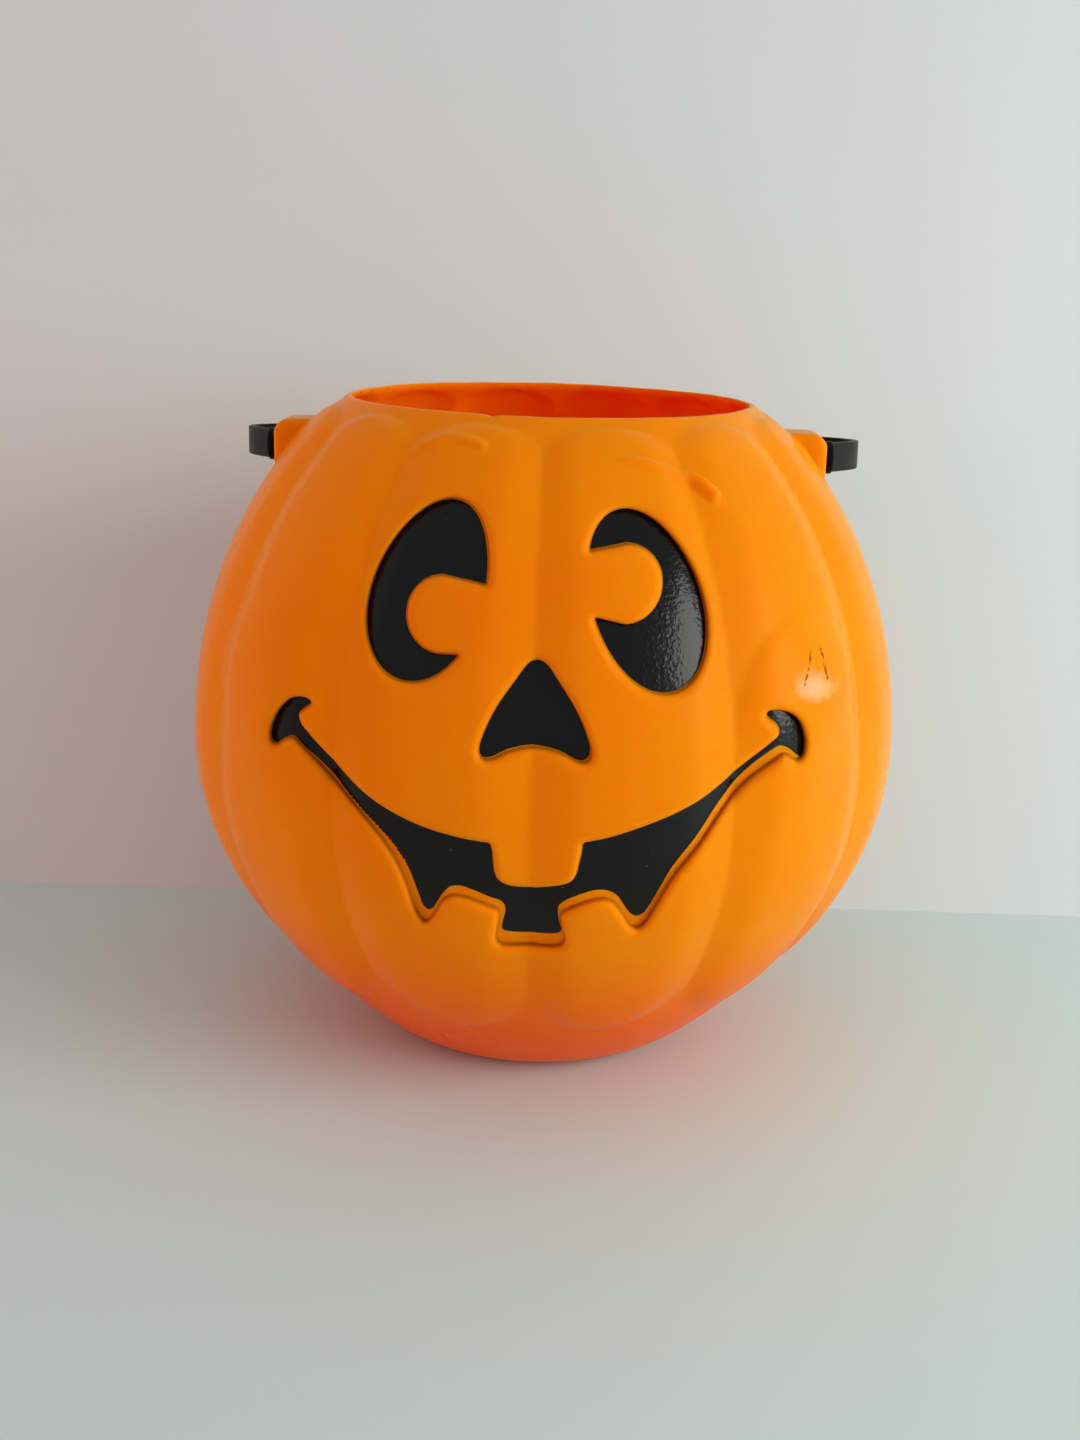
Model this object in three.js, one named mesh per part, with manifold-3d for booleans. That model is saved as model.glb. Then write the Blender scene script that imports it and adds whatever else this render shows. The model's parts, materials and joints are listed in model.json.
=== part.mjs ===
// A blow-moulded jack-o'-lantern pail with a strap handle.
//
// Millimetres, +Z up. The origin is the middle of the base, on the surface that the pail stands on.
// The face looks towards -Y. The handle lies back towards +Y, down on the shoulder of the pail.

import * as THREE from 'three';
import { mergeVertices } from 'three/addons/utils/BufferGeometryUtils.js';
import Module from 'manifold-3d';

const wasm = await Module();
wasm.setup();

// Pail body
const bodyHeight = 203;
const bellyRadius = 111;
const bellyHeight = 97.5;
const mouthRadius = 62;
const heelRadius = 52;
const wall = 1.8;

// Lobes: each swells out of the smooth body between two creases, and ends over the foot and under the rim
const lobeCount = 12;
const lobeRise = 2.4;
const lobeFootEnd = 20;
const lobeRimEnd = 6;
const lobeFootGap = 27;
const lobeRimGap = 2.4;

// Foot, with a base that is pushed up in the middle
const footRadius = 44;
const footHeight = 9;
const footCurl = 2;
const pushUpRadius = 32;
const pushUpRise = 3;
const pushUpSlope = 2;

// Handle: a flat strap with a neck and a snap head at each end
const pivotDrop = 16.5;
const strapWidth = 9;
const strapThickness = 2;
const strapRounding = 0.4;
const strapFlare = 13;
const strapWaist = 34;
const restDroop = THREE.MathUtils.degToRad(4);
const neckRadius = 2.8;
const headOverhang = 1.6;
const headLength = 2.6;
const headChamfer = 1.4;
const endOverhang = 0.5;

// Handle lugs: hollow bosses on the mould's parting plane, with room inside for the snap heads
const lugStand = 6.8;
const lugWidth = 16;
const lugRoomAbove = 2.3;
const lugRoomBelow = 0.8;
const lugTopLean = 2.4;
const lugRounding = 1.2;

// Clearances
const boreClearance = 0.4;
const sideClearance = 0.4;
const restClearance = 0.4;
const paintClearance = 0.35;

// Face pockets and the paint on their floors
const pocketDepth = 2.8;
const paintThickness = 0.5;
const paintSlip = { x: -0.6, z: 2.1 };
const faceWidth = 143.6;
const faceRimGap = 21.1;
const faceFloorGap = 64.7;
const faceShift = 0.8;

// The drawing of the face from the front, x from its middle and z up, fitted to the sizes above.
// An eye is an oval that leans towards the nose and is narrower at its top by its taper. Its pupil
// is a disc that stays standing and opens towards the nose, between an upper and a lower edge.
const leftEye = { x: -29.3, z: 159.7, long: 23.7, short: 14.7, lean: 22, taper: 0.09 };
const rightEye = { x: 27.9, z: 158.3, long: 23.9, short: 13.9, lean: -24, taper: 0.04 };
const leftPupil = { x: -25.2, z: 154.3, radius: 9.6, upperEdge: 161, lowerEdge: 145.3 };
const rightPupil = { x: 22.2, z: 162.8, radius: 9.8, upperEdge: 169.1, lowerEdge: 157.6 };

// The right half of the nose and of the mouth. Each run of points is one smooth stretch, and the
// stretches meet in corners.
const noseHalf = [
  [[0, 143.9], [2, 143.2], [6, 138.2], [10.4, 131.8], [13.4, 125.4], [14.5, 121], [13.6, 119.1],
    [11.6, 118.9], [6.4, 121.1], [0, 122]],
];
const mouthHalf = [
  [[0, 83.6], [4.5, 83.9], [8.3, 84.7], [10.8, 86.4], [11.6, 89.4], [12.2, 97.3]],
  [[12.2, 97.3], [18.5, 98.2], [29.5, 101.2], [39, 104.9], [48.5, 110], [57, 116], [63.9, 121.5]],
  [[63.9, 121.5], [63.8, 123.4], [62.2, 125.7], [60.3, 127.2], [60.7, 128.1], [63, 128.1], [66.3, 126.9],
    [69.2, 124], [70.9, 119.8], [71.8, 115.6], [71.2, 114.1], [69.8, 114.3], [68, 116.2], [66, 117],
    [63.4, 115], [56, 109.2], [48.8, 103.4], [43, 96.6], [37.4, 89.2], [33.2, 81.6], [31, 75.6],
    [29.4, 71.6], [27.8, 71.6], [25.6, 75], [23.2, 79.4], [20.6, 81.1], [15.4, 80.2], [9.2, 77.4],
    [8, 75.6], [8.4, 72], [9, 68], [8.1, 65.9], [5.4, 64.9], [0, 64.7]],
];

// Mesh fineness
const columnsPerLobe = 4;
const footRows = 4;
const lowerRows = 8;
const upperRows = 11;
const rowSpread = 1.35;
const outlineStep = 3.5;
const eyeSteps = 36;
const roundSteps = 24;
const strapSteps = 26;
const sharpestMitre = 0.4;
const foldShare = 0.93;

const lobeAngle = (2 * Math.PI) / lobeCount;
const columns = lobeCount * columnsPerLobe;
const pivotHeight = bodyHeight - pivotDrop;
const headRadius = neckRadius + headOverhang;
const lugReach = bodyRadius(pivotHeight) + lugStand;

// The radius of the smooth body, without its lobes, at a height
function bodyRadius(z) {
  const belly = bellyRadius - lobeRise;
  if (z >= bellyHeight) {
    const domeHeight = (bodyHeight - bellyHeight) / Math.sqrt(1 - (mouthRadius / belly) ** 2);
    return belly * Math.sqrt(1 - ((z - bellyHeight) / domeHeight) ** 2);
  }
  if (z >= footHeight) {
    return belly - (bellyRadius - heelRadius) * ((bellyHeight - z) / bellyHeight) ** 2;
  }
  return footCurve(z);
}

// Under the lobes the foot curls in to the surface that the pail stands on: a curve of three points
// from the resting face, by a bend, up into the slope of the body
function footCurve(z) {
  const top = bodyRadius(footHeight);
  const slope = (2 * (bellyRadius - heelRadius) * (bellyHeight - footHeight)) / bellyHeight ** 2;
  const bend = top - slope * (footHeight - footCurl);
  const square = footHeight - 2 * footCurl;
  const t = (Math.sqrt(footCurl ** 2 + square * z) - footCurl) / square;
  return (1 - t) ** 2 * footRadius + 2 * t * (1 - t) * bend + t ** 2 * top;
}

// How far a lobe swells at an angle from the front and a height, from 0 in a crease to 1 on its crest
function lobeSwell(angle, z) {
  const fromFoot = (z - lobeFootGap) / lobeFootEnd;
  const fromRim = (bodyHeight - lobeRimGap - z) / lobeRimEnd;
  const fromEnd = Math.min(fromFoot, fromRim);
  if (fromEnd <= 0) {
    return 0;
  }
  const open = fromEnd >= 1 ? 1 : Math.sqrt(1 - (1 - fromEnd) ** 2);
  const turns = angle / lobeAngle;
  const across = Math.abs(2 * (turns - Math.floor(turns)) - 1);
  return across >= open ? 0 : Math.cos((Math.PI / 2) * (across / open)) * Math.sqrt(open);
}

// The section of the skin from the middle of the base out and up to the rim, as [radius, height].
// Its rows lie closer together towards the foot and towards the rim, where the skin turns in.
function skinSection() {
  const section = [
    [pushUpRadius - pushUpSlope, pushUpRise],
    [pushUpRadius, 0],
    [footRadius, 0],
  ];
  const add = (z) => section.push([bodyRadius(z), z]);
  for (let i = 1; i < footRows; i += 1) {
    add(footHeight * (i / footRows) ** 2);
  }
  for (let i = 0; i < lowerRows; i += 1) {
    add(footHeight + (bellyHeight - footHeight) * (i / lowerRows) ** rowSpread);
  }
  for (let i = upperRows; i >= 0; i -= 1) {
    add(bodyHeight - (bodyHeight - bellyHeight) * (i / upperRows) ** rowSpread);
  }
  return section;
}

// The points of a line moved sideways by a distance, to its right where it runs upwards. Each point
// moves along the mitre between the stretches before and after it.
function shifted(line, distance, closed) {
  const sideOf = ([fromX, fromY], [toX, toY]) => {
    const length = Math.hypot(toX - fromX, toY - fromY);
    return [(toY - fromY) / length, (fromX - toX) / length];
  };
  const last = line.length - 1;
  return line.map((point, i) => {
    const next = i < last ? line[i + 1] : line[0];
    const previous = i > 0 ? line[i - 1] : line[last];
    const after = closed || i < last ? sideOf(point, next) : sideOf(previous, point);
    const before = closed || i > 0 ? sideOf(previous, point) : after;
    const reach = distance / Math.max(sharpestMitre, 1 + before[0] * after[0] + before[1] * after[1]);
    return [point[0] + reach * (before[0] + after[0]), point[1] + reach * (before[1] + after[1])];
  });
}

// The closed solid inside the skin at a depth. With a depth it also runs up through the mouth.
function bodySolid(depth) {
  const section = skinSection();
  const rings = shifted(section, -depth, false).map(([radius, z], row) => {
    const ring = [];
    for (let column = 0; column < columns; column += 1) {
      const angle = column * (lobeAngle / columnsPerLobe);
      const out = radius + lobeRise * lobeSwell(angle, section[row][1]);
      ring.push([out * Math.sin(angle), -out * Math.cos(angle), z]);
    }
    return ring;
  });
  if (depth > 0) {
    rings.push(rings.at(-1).map(([x, y]) => [x, y, bodyHeight + mouthRadius]));
  }
  const points = [[0, 0, rings[0][0][2]], ...rings.flat(), [0, 0, rings.at(-1)[0][2]]];
  const at = (row, column) => 1 + row * columns + (column % columns);
  const faces = [];
  for (let column = 0; column < columns; column += 1) {
    faces.push(0, at(0, column + 1), at(0, column));
    for (let row = 0; row < rings.length - 1; row += 1) {
      faces.push(at(row, column), at(row, column + 1), at(row + 1, column + 1));
      faces.push(at(row, column), at(row + 1, column + 1), at(row + 1, column));
    }
    faces.push(points.length - 1, at(rings.length - 1, column), at(rings.length - 1, column + 1));
  }
  const geometry = new THREE.BufferGeometry();
  geometry.setAttribute('position', new THREE.Float32BufferAttribute(points.flat(), 3));
  geometry.setIndex(faces);
  return solid(geometry);
}

// A closed geometry as a solid that can be joined and cut
function solid(geometry) {
  const plain = geometry.clone();
  plain.deleteAttribute('normal');
  plain.deleteAttribute('uv');
  const merged = mergeVertices(plain);
  return new wasm.Manifold(new wasm.Mesh({
    numProp: 3,
    vertProperties: new Float32Array(merged.attributes.position.array),
    triVerts: new Uint32Array(merged.index.array),
  }));
}

function geometryOf(body) {
  const mesh = body.getMesh();
  const geometry = new THREE.BufferGeometry();
  geometry.setAttribute('position', new THREE.BufferAttribute(mesh.vertProperties, 3));
  geometry.setIndex(new THREE.BufferAttribute(mesh.triVerts, 1));
  const flat = geometry.toNonIndexed();
  flat.computeVertexNormals();
  return flat;
}

// A smooth stretch through its points, with more points between two that lie far apart
function smoothStretch(points) {
  const curve = new THREE.CatmullRomCurve3(
    points.map(([x, z]) => new THREE.Vector3(x, z, 0)), false, 'centripetal');
  const spans = points.length - 1;
  const smooth = [points[0]];
  for (let span = 0; span < spans; span += 1) {
    const [from, to] = [points[span], points[span + 1]];
    const count = Math.max(1, Math.round(Math.hypot(to[0] - from[0], to[1] - from[1]) / outlineStep));
    for (let i = 1; i <= count; i += 1) {
      const point = curve.getPoint((span + i / count) / spans);
      smooth.push([point.x, point.y]);
    }
  }
  return smooth;
}

// A whole outline from the stretches of its right half, which start and end on its middle
function mirroredOutline(stretches) {
  const right = stretches.flatMap((stretch) => smoothStretch(stretch).slice(0, -1));
  right.push(stretches.at(-1).at(-1));
  const left = right.slice(1, -1).reverse().map(([x, z]) => [-x, z]);
  return [...right, ...left];
}

function eyeOutline({ x, z, long, short, lean, taper }) {
  const turned = THREE.MathUtils.degToRad(lean);
  return Array.from({ length: eyeSteps }, (_, i) => {
    const turn = (i / eyeSteps) * 2 * Math.PI;
    const across = short * (1 - taper * Math.sin(turn)) * Math.cos(turn);
    const along = long * Math.sin(turn);
    return [
      x + across * Math.cos(turned) + along * Math.sin(turned),
      z - across * Math.sin(turned) + along * Math.cos(turned),
    ];
  });
}

// The half of the pupil's disc that looks away from the nose, and its two edges, which run on
// towards the nose for another width of the pupil
function pupilOutline({ x, z, radius, upperEdge, lowerEdge }) {
  const away = Math.sign(x);
  const outline = [];
  for (let i = 0; i <= roundSteps / 2; i += 1) {
    const turn = Math.PI * (i / (roundSteps / 2));
    outline.push([x + away * radius * Math.sin(turn), z + radius * Math.cos(turn)]);
  }
  outline.push([x - away * 2 * radius, lowerEdge], [x - away * 2 * radius, upperEdge]);
  return outline;
}

const drawing = {
  leftEye: eyeOutline(leftEye),
  rightEye: eyeOutline(rightEye),
  leftPupil: pupilOutline(leftPupil),
  rightPupil: pupilOutline(rightPupil),
  nose: mirroredOutline(noseHalf),
  mouth: mirroredOutline(mouthHalf),
};

// The drawing fitted between its gaps to the floor and to the rim, and to its width
function fitted(outline) {
  const across = Object.values(drawing).flat().map(([x]) => x);
  const up = Object.values(drawing).flat().map(([, z]) => z);
  const [low, high] = [Math.min(...up), Math.max(...up)];
  const scaleX = faceWidth / (Math.max(...across) - Math.min(...across));
  const scaleZ = (bodyHeight - faceRimGap - faceFloorGap) / (high - low);
  const placed = outline.map(([x, z]) => [faceShift + scaleX * x, faceFloorGap + scaleZ * (z - low)]);
  return signedArea(placed) > 0 ? placed : placed.reverse();
}

function signedArea(outline) {
  return outline.reduce((sum, [x, z], i) => {
    const [nextX, nextZ] = outline[(i + 1) % outline.length];
    return sum + (x * nextZ - nextX * z) / 2;
  }, 0);
}

function distanceToOutline([x, z], outline) {
  const distances = outline.map(([fromX, fromZ], i) => {
    const [toX, toZ] = outline[(i + 1) % outline.length];
    const [alongX, alongZ] = [toX - fromX, toZ - fromZ];
    const share = ((x - fromX) * alongX + (z - fromZ) * alongZ) / (alongX ** 2 + alongZ ** 2);
    const held = THREE.MathUtils.clamp(share, 0, 1);
    return Math.hypot(x - fromX - held * alongX, z - fromZ - held * alongZ);
  });
  return Math.min(...distances);
}

// An outline moved out by a distance, or in where it is negative, without points that would fold over
function grown(outline, distance) {
  const kept = (point) => distanceToOutline(point, outline) >= foldShare * Math.abs(distance);
  return shifted(outline, distance, true).filter(kept);
}

// A solid with this outline, seen from the front, that runs through the front half of the pail
function frontPrism(outline) {
  const shape = new THREE.Shape(outline.map(([x, z]) => new THREE.Vector2(x, z)));
  const geometry = new THREE.ExtrudeGeometry(shape, { depth: 2 * bellyRadius, bevelEnabled: false });
  geometry.rotateX(Math.PI / 2);
  return solid(geometry);
}

function eyePrism(eye, pupil, growth) {
  return frontPrism(grown(fitted(eye), growth)).subtract(frontPrism(grown(fitted(pupil), -growth)));
}

// Each pocket as a prism, grown by a distance all round
const pockets = {
  left_eye: (growth) => eyePrism(drawing.leftEye, drawing.leftPupil, growth),
  right_eye: (growth) => eyePrism(drawing.rightEye, drawing.rightPupil, growth),
  nose: (growth) => frontPrism(grown(fitted(drawing.nose), growth)),
  mouth: (growth) => frontPrism(grown(fitted(drawing.mouth), growth)),
};

// A lug from inside the body out to its face, with this much taken off all round
function lugSolid(side, inset) {
  const rounding = inset > 0 ? 0 : lugRounding;
  const taken = inset + rounding;
  const face = lugReach - taken;
  const top = pivotHeight + headRadius + lugRoomAbove + wall - taken;
  const bottom = pivotHeight - headRadius - lugRoomBelow - wall + taken;
  const root = mouthRadius + lugRounding;
  const shape = new THREE.Shape([
    new THREE.Vector2(root, bottom),
    new THREE.Vector2(face, bottom),
    new THREE.Vector2(face, pivotHeight + headRadius + sideClearance),
    new THREE.Vector2(face + rounding - lugTopLean, top),
    new THREE.Vector2(root, top),
  ]);
  const depth = lugWidth - 2 * taken;
  const geometry = new THREE.ExtrudeGeometry(shape, {
    depth,
    bevelEnabled: rounding > 0,
    bevelThickness: rounding,
    bevelSize: rounding,
    bevelSegments: 2,
  });
  geometry.rotateX(Math.PI / 2);
  geometry.translate(0, depth / 2, 0);
  if (side < 0) {
    geometry.rotateZ(Math.PI);
  }
  return solid(geometry);
}

function lugBore(side) {
  const radius = neckRadius + boreClearance;
  const geometry = new THREE.CylinderGeometry(radius, radius, 2 * wall, roundSteps);
  geometry.rotateZ(Math.PI / 2);
  geometry.translate(side * (lugReach - wall / 2), 0, pivotHeight);
  return solid(geometry);
}

function shellSolid() {
  const outer = bodySolid(0);
  const pocketFloor = bodySolid(pocketDepth);
  const pocketBack = bodySolid(pocketDepth + wall);
  const lugs = [-1, 1];
  const outside = lugs.reduce((body, side) => body.add(lugSolid(side, 0)), outer);
  const inside = lugs.reduce((body, side) => body.add(lugSolid(side, wall)), bodySolid(wall));
  let shell = outside.subtract(inside);
  for (const pocket of Object.values(pockets)) {
    shell = shell.add(outer.intersect(pocket(wall)).subtract(pocketBack));
  }
  for (const pocket of Object.values(pockets)) {
    shell = shell.subtract(pocket(0).subtract(pocketFloor));
  }
  return lugs.reduce((body, side) => body.subtract(lugBore(side)), shell);
}

// The sprayed film over a pocket's floor, clear of the floor and the walls
function filmSolid(pocket) {
  const under = pocketDepth - paintClearance;
  return bodySolid(under - paintThickness).subtract(bodySolid(under)).intersect(pocket(-paintClearance));
}

// In the mouth the spray mask slipped up and aside, so that the lower lip's floor stays bare
function mouthFilmSolid() {
  const slipped = fitted(drawing.mouth).map(([x, z]) => [x + paintSlip.x, z + paintSlip.z]);
  return filmSolid(pockets.mouth).intersect(frontPrism(grown(slipped, -paintClearance)));
}

// The middle line of the right half of the strap, from above: out from the pivot to the waist, then
// round a quarter of an oval to the back, where the strap touches the shoulder of the pail
function strapLine() {
  const touchHeight = pivotHeight - bodyRadius(pivotHeight) * Math.sin(restDroop) - strapWidth / 2;
  const touchAngle = Math.PI - lobeAngle / 3;
  const shoulder = bodyRadius(touchHeight) + lobeRise * lobeSwell(touchAngle, touchHeight);
  const reach = shoulder + restClearance + strapThickness / 2;
  const end = new THREE.Vector2(lugReach + sideClearance + strapThickness / 2, 0);
  const waist = new THREE.Vector2(end.x + strapFlare, strapWaist);
  const line = new THREE.CurvePath();
  line.add(new THREE.CubicBezierCurve(
    end,
    new THREE.Vector2(end.x + 0.4 * strapFlare, 0.3 * strapWaist),
    new THREE.Vector2(waist.x, 0.6 * strapWaist),
    waist));
  line.add(new THREE.EllipseCurve(0, strapWaist, waist.x, reach - strapWaist, 0, Math.PI / 2));
  return line;
}

// The strap lies along X and Y here, and is turned to its place on the pail at the end
function strapSolid() {
  const line = strapLine();
  const right = line.getSpacedPoints(strapSteps).map((point) => [point.x, point.y]);
  const left = right.slice(0, -1).reverse().map(([x, y]) => [-x, y]);
  const middle = [...right, ...left];
  const half = strapThickness / 2 - strapRounding;
  // Both ends are square to the pivot, so that each meets its neck flat
  const level = (points) => points.map(([x, y], i) => (i === 0 || i === points.length - 1 ? [x, 0] : [x, y]));
  const outline = [
    ...level(shifted(middle, half, false)),
    ...level(shifted(middle, -half, false)).reverse(),
  ];
  const shape = new THREE.Shape(outline.map(([x, y]) => new THREE.Vector2(x, y)));
  const depth = strapWidth - 2 * strapRounding;
  const geometry = new THREE.ExtrudeGeometry(shape, {
    depth,
    bevelEnabled: true,
    bevelThickness: strapRounding,
    bevelSize: strapRounding,
    bevelSegments: 1,
  });
  geometry.translate(0, 0, -depth / 2);
  return solid(geometry);
}

// The round end of the strap with its neck and snap head, turned about the pivot
function snapEnd(side) {
  const inner = lugReach + sideClearance;
  const outer = inner + strapThickness;
  const endRadius = strapWidth / 2 + endOverhang;
  const head = lugReach - wall - sideClearance;
  const profile = [
    [0, head - headLength],
    [headRadius - headChamfer, head - headLength],
    [headRadius, head - headLength + headChamfer],
    [headRadius, head],
    [neckRadius, head],
    [neckRadius, inner],
    [endRadius, inner],
    [endRadius, outer - strapRounding],
    [endRadius - strapRounding, outer],
    [0, outer],
  ];
  const geometry = new THREE.LatheGeometry(
    profile.map(([radius, x]) => new THREE.Vector2(radius, x)), roundSteps);
  geometry.rotateZ(-Math.PI / 2);
  if (side < 0) {
    geometry.rotateZ(Math.PI);
  }
  return solid(geometry);
}

function handleSolid() {
  return strapSolid().add(snapEnd(1)).add(snapEnd(-1));
}

function named(name, body, material) {
  const mesh = new THREE.Mesh(geometryOf(body), material);
  mesh.name = name;
  return mesh;
}

const orangePlastic = new THREE.MeshStandardMaterial({ color: 0xf07a12, roughness: 0.35, metalness: 0 });
const blackPaint = new THREE.MeshStandardMaterial({ color: 0x0a0a0b, roughness: 0.22, metalness: 0 });
const blackPlastic = new THREE.MeshStandardMaterial({ color: 0x141214, roughness: 0.45, metalness: 0 });

const handle = named('handle', handleSolid(), blackPlastic);
handle.position.z = pivotHeight;
handle.rotation.x = -restDroop;

const pail = new THREE.Group();
pail.add(
  named('shell', shellSolid(), orangePlastic),
  named('paint_left_eye', filmSolid(pockets.left_eye), blackPaint),
  named('paint_right_eye', filmSolid(pockets.right_eye), blackPaint),
  named('paint_nose', filmSolid(pockets.nose), blackPaint),
  named('paint_mouth', mouthFilmSolid(), blackPaint),
  handle,
);

export default pail;
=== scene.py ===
"""A blow-moulded jack-o'-lantern pail with a strap handle, dressed for its picture.

The pail stands at the origin with its face towards -Y, in metres. Its skin is one flat pattern of
angle and distance along the section, wrapped round by Geometry Nodes with its lobes. The face
pockets, the handle lugs and the small relief are moulded into that pattern first. The paint in the
pockets and the strap handle are pieces of their own.
"""

import json
import math

import bmesh
import bpy
import numpy as np
from mathutils import Matrix, Vector
from mathutils.geometry import delaunay_2d_cdt
from mathutils.kdtree import KDTree


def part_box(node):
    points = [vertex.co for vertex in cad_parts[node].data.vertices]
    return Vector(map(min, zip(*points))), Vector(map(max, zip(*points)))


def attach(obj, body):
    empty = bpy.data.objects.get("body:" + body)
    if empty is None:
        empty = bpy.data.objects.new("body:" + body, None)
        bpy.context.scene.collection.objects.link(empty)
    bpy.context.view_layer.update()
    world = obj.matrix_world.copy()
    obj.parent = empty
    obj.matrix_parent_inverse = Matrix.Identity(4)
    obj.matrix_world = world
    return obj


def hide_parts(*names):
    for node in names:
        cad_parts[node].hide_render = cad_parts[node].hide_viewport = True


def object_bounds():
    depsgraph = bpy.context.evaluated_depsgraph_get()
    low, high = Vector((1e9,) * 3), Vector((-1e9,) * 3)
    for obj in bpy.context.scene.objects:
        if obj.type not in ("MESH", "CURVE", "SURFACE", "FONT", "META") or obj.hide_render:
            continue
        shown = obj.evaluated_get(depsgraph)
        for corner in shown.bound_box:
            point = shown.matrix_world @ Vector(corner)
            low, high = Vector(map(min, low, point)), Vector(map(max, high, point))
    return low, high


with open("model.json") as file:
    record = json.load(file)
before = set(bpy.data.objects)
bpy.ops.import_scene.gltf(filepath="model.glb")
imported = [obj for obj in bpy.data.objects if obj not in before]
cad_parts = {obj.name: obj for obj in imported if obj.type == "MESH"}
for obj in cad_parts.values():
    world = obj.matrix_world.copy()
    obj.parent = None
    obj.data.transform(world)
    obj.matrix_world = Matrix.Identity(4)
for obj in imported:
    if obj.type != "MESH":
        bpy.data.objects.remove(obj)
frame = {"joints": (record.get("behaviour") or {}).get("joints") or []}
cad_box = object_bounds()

bl_info = {
    "name": "Pumpkin Pail",
    "version": (1, 0, 0),
    "blender": (4, 5, 0),
    "location": "View3D > Sidebar > Pumpkin Pail",
    "description": "Builds a blow-moulded pumpkin pail with its painted face and strap handle",
    "category": "Add Mesh",
}

MM = 0.001
CAD_HEIGHT = cad_box[1].z
CAD_PIVOT = frame["joints"][0]["pos_m"][2]

# The outlines of the face, seen from the front in millimetres: x to the right, z up. Each run of
# points is one smooth stretch, and the stretches meet in corners.
NOSE_OUTLINE = [
    [(0.8, 143.9), (2.8, 143.2), (6.8, 138.2), (11.2, 131.8), (14.2, 125.4), (15.3, 121), (14.4, 119.1),
     (12.4, 118.9), (7.2, 121.1), (0.8, 122), (-5.6, 121.1), (-10.8, 118.9), (-12.8, 119.1),
     (-13.7, 121), (-12.6, 125.4), (-9.6, 131.8), (-5.2, 138.2), (-1.2, 143.2), (0.8, 143.9)],
]
MOUTH_OUTLINE = [
    [(1.6, 83.2), (5.6, 84), (9.4, 85), (11.4, 86.3), (12.5, 88.3), (13.1, 91.4), (13.7, 94.5), (14, 97.3)],
    [(14, 97.3), (20, 98.4), (30, 101.3), (40, 104.9), (50, 110), (59.6, 116.9), (64.6, 121)],
    [(64.6, 121), (65.2, 122.4), (64.2, 124.6), (61.4, 127.2), (61.6, 128.1), (64.2, 128.1), (67, 127.1),
     (69.9, 124.6), (71.7, 120.7), (72.3, 117.4), (71.9, 114.6), (70.4, 113.9), (68.6, 115.4), (66.4, 116.4),
     (64.2, 114.9), (57.4, 110), (51.1, 103.2), (44.9, 94.6), (38.6, 86.6), (35.5, 81), (33, 75.8),
     (31.1, 72.2), (29.3, 70.6), (27.4, 71.6), (25.5, 75), (23.6, 78.2), (22.1, 80), (19.9, 80.8),
     (16.7, 80.4), (10.5, 77.6), (8.5, 75.8), (8.4, 73.8), (9.2, 70), (9.7, 67.6), (9.1, 65.8),
     (7.2, 64.7), (4, 64.3), (0.6, 64.3), (-4, 64.4), (-7.4, 64.9), (-8.6, 66.6), (-8.4, 70),
     (-7.8, 75), (-8.2, 76.6), (-10.6, 77.8), (-14.6, 79.4), (-18.6, 80.4), (-21, 80.2), (-23, 78.6),
     (-24.8, 75.2), (-26.6, 71.8), (-28.2, 70.6), (-29.8, 72.2), (-31.4, 76.4), (-33.2, 82.6),
     (-36.2, 89.4), (-41.4, 96.4), (-47.4, 102), (-54.4, 107.8), (-60.6, 113.2), (-65.4, 117),
     (-67.6, 116.2), (-69.6, 114.4), (-71.4, 114.4), (-71.8, 116.6), (-70.4, 121), (-68.2, 124.6),
     (-65.2, 127.4), (-61.8, 128.2), (-60, 127.3), (-62, 125.4), (-63.6, 123.6), (-63, 121)],
    [(-63, 121), (-58, 115.7), (-50, 109.4), (-40, 103.6), (-30, 99.8), (-20, 97.6), (-10.7, 96.4)],
    [(-10.7, 96.4), (-10, 94), (-9.7, 90.6), (-9.2, 87.4), (-8, 85.4), (-5.6, 84), (-2, 83.3), (1.6, 83.2)],
]
# The lower limit of the mouth's paint: the spray mask slipped up here, and the floor below stayed bare
MOUTH_PAINT_LIMIT = [
    [(74, 132), (74, 112)],
    [(74, 112), (71, 114.6), (69.4, 116), (67.6, 117.6), (65.4, 118.4), (62.6, 116.9), (56.4, 112),
     (50, 105.2), (44, 96.8), (37.8, 88.6), (34.8, 82.8), (32.4, 77.8), (30.6, 74.9), (28.8, 74.2),
     (27.2, 75.2), (25.4, 78), (23.6, 81), (21.6, 82.6), (19.2, 83.2), (16, 82.8), (10, 80), (8, 78),
     (7.7, 75.8), (8.3, 72), (8.8, 70.2), (8.1, 69), (5.6, 68.4), (0, 68.1), (-5, 68.6), (-7.1, 69.4),
     (-7, 72), (-6.3, 76.4), (-7.2, 78.6), (-11, 80.4), (-15, 82.2), (-18.4, 83.1), (-21, 82.6),
     (-23, 80.4), (-24.6, 77.6), (-26, 75), (-27.2, 74.3), (-28.5, 75.2), (-29.8, 79), (-30.8, 82),
     (-32, 85.6), (-33.6, 88.8)],
    [(-33.6, 88.8), (-36, 92.3), (-40, 96.5), (-44.5, 100.3), (-50, 104.7)],
    [(-50, 104.7), (-57, 110.8), (-62, 114.6), (-65.4, 117.3), (-68, 115.8), (-71, 113.6), (-74, 112)],
    [(-74, 112), (-74, 132), (74, 132)],
]
MOUTH_PAINT_RAGGED_RUN = 2

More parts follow.
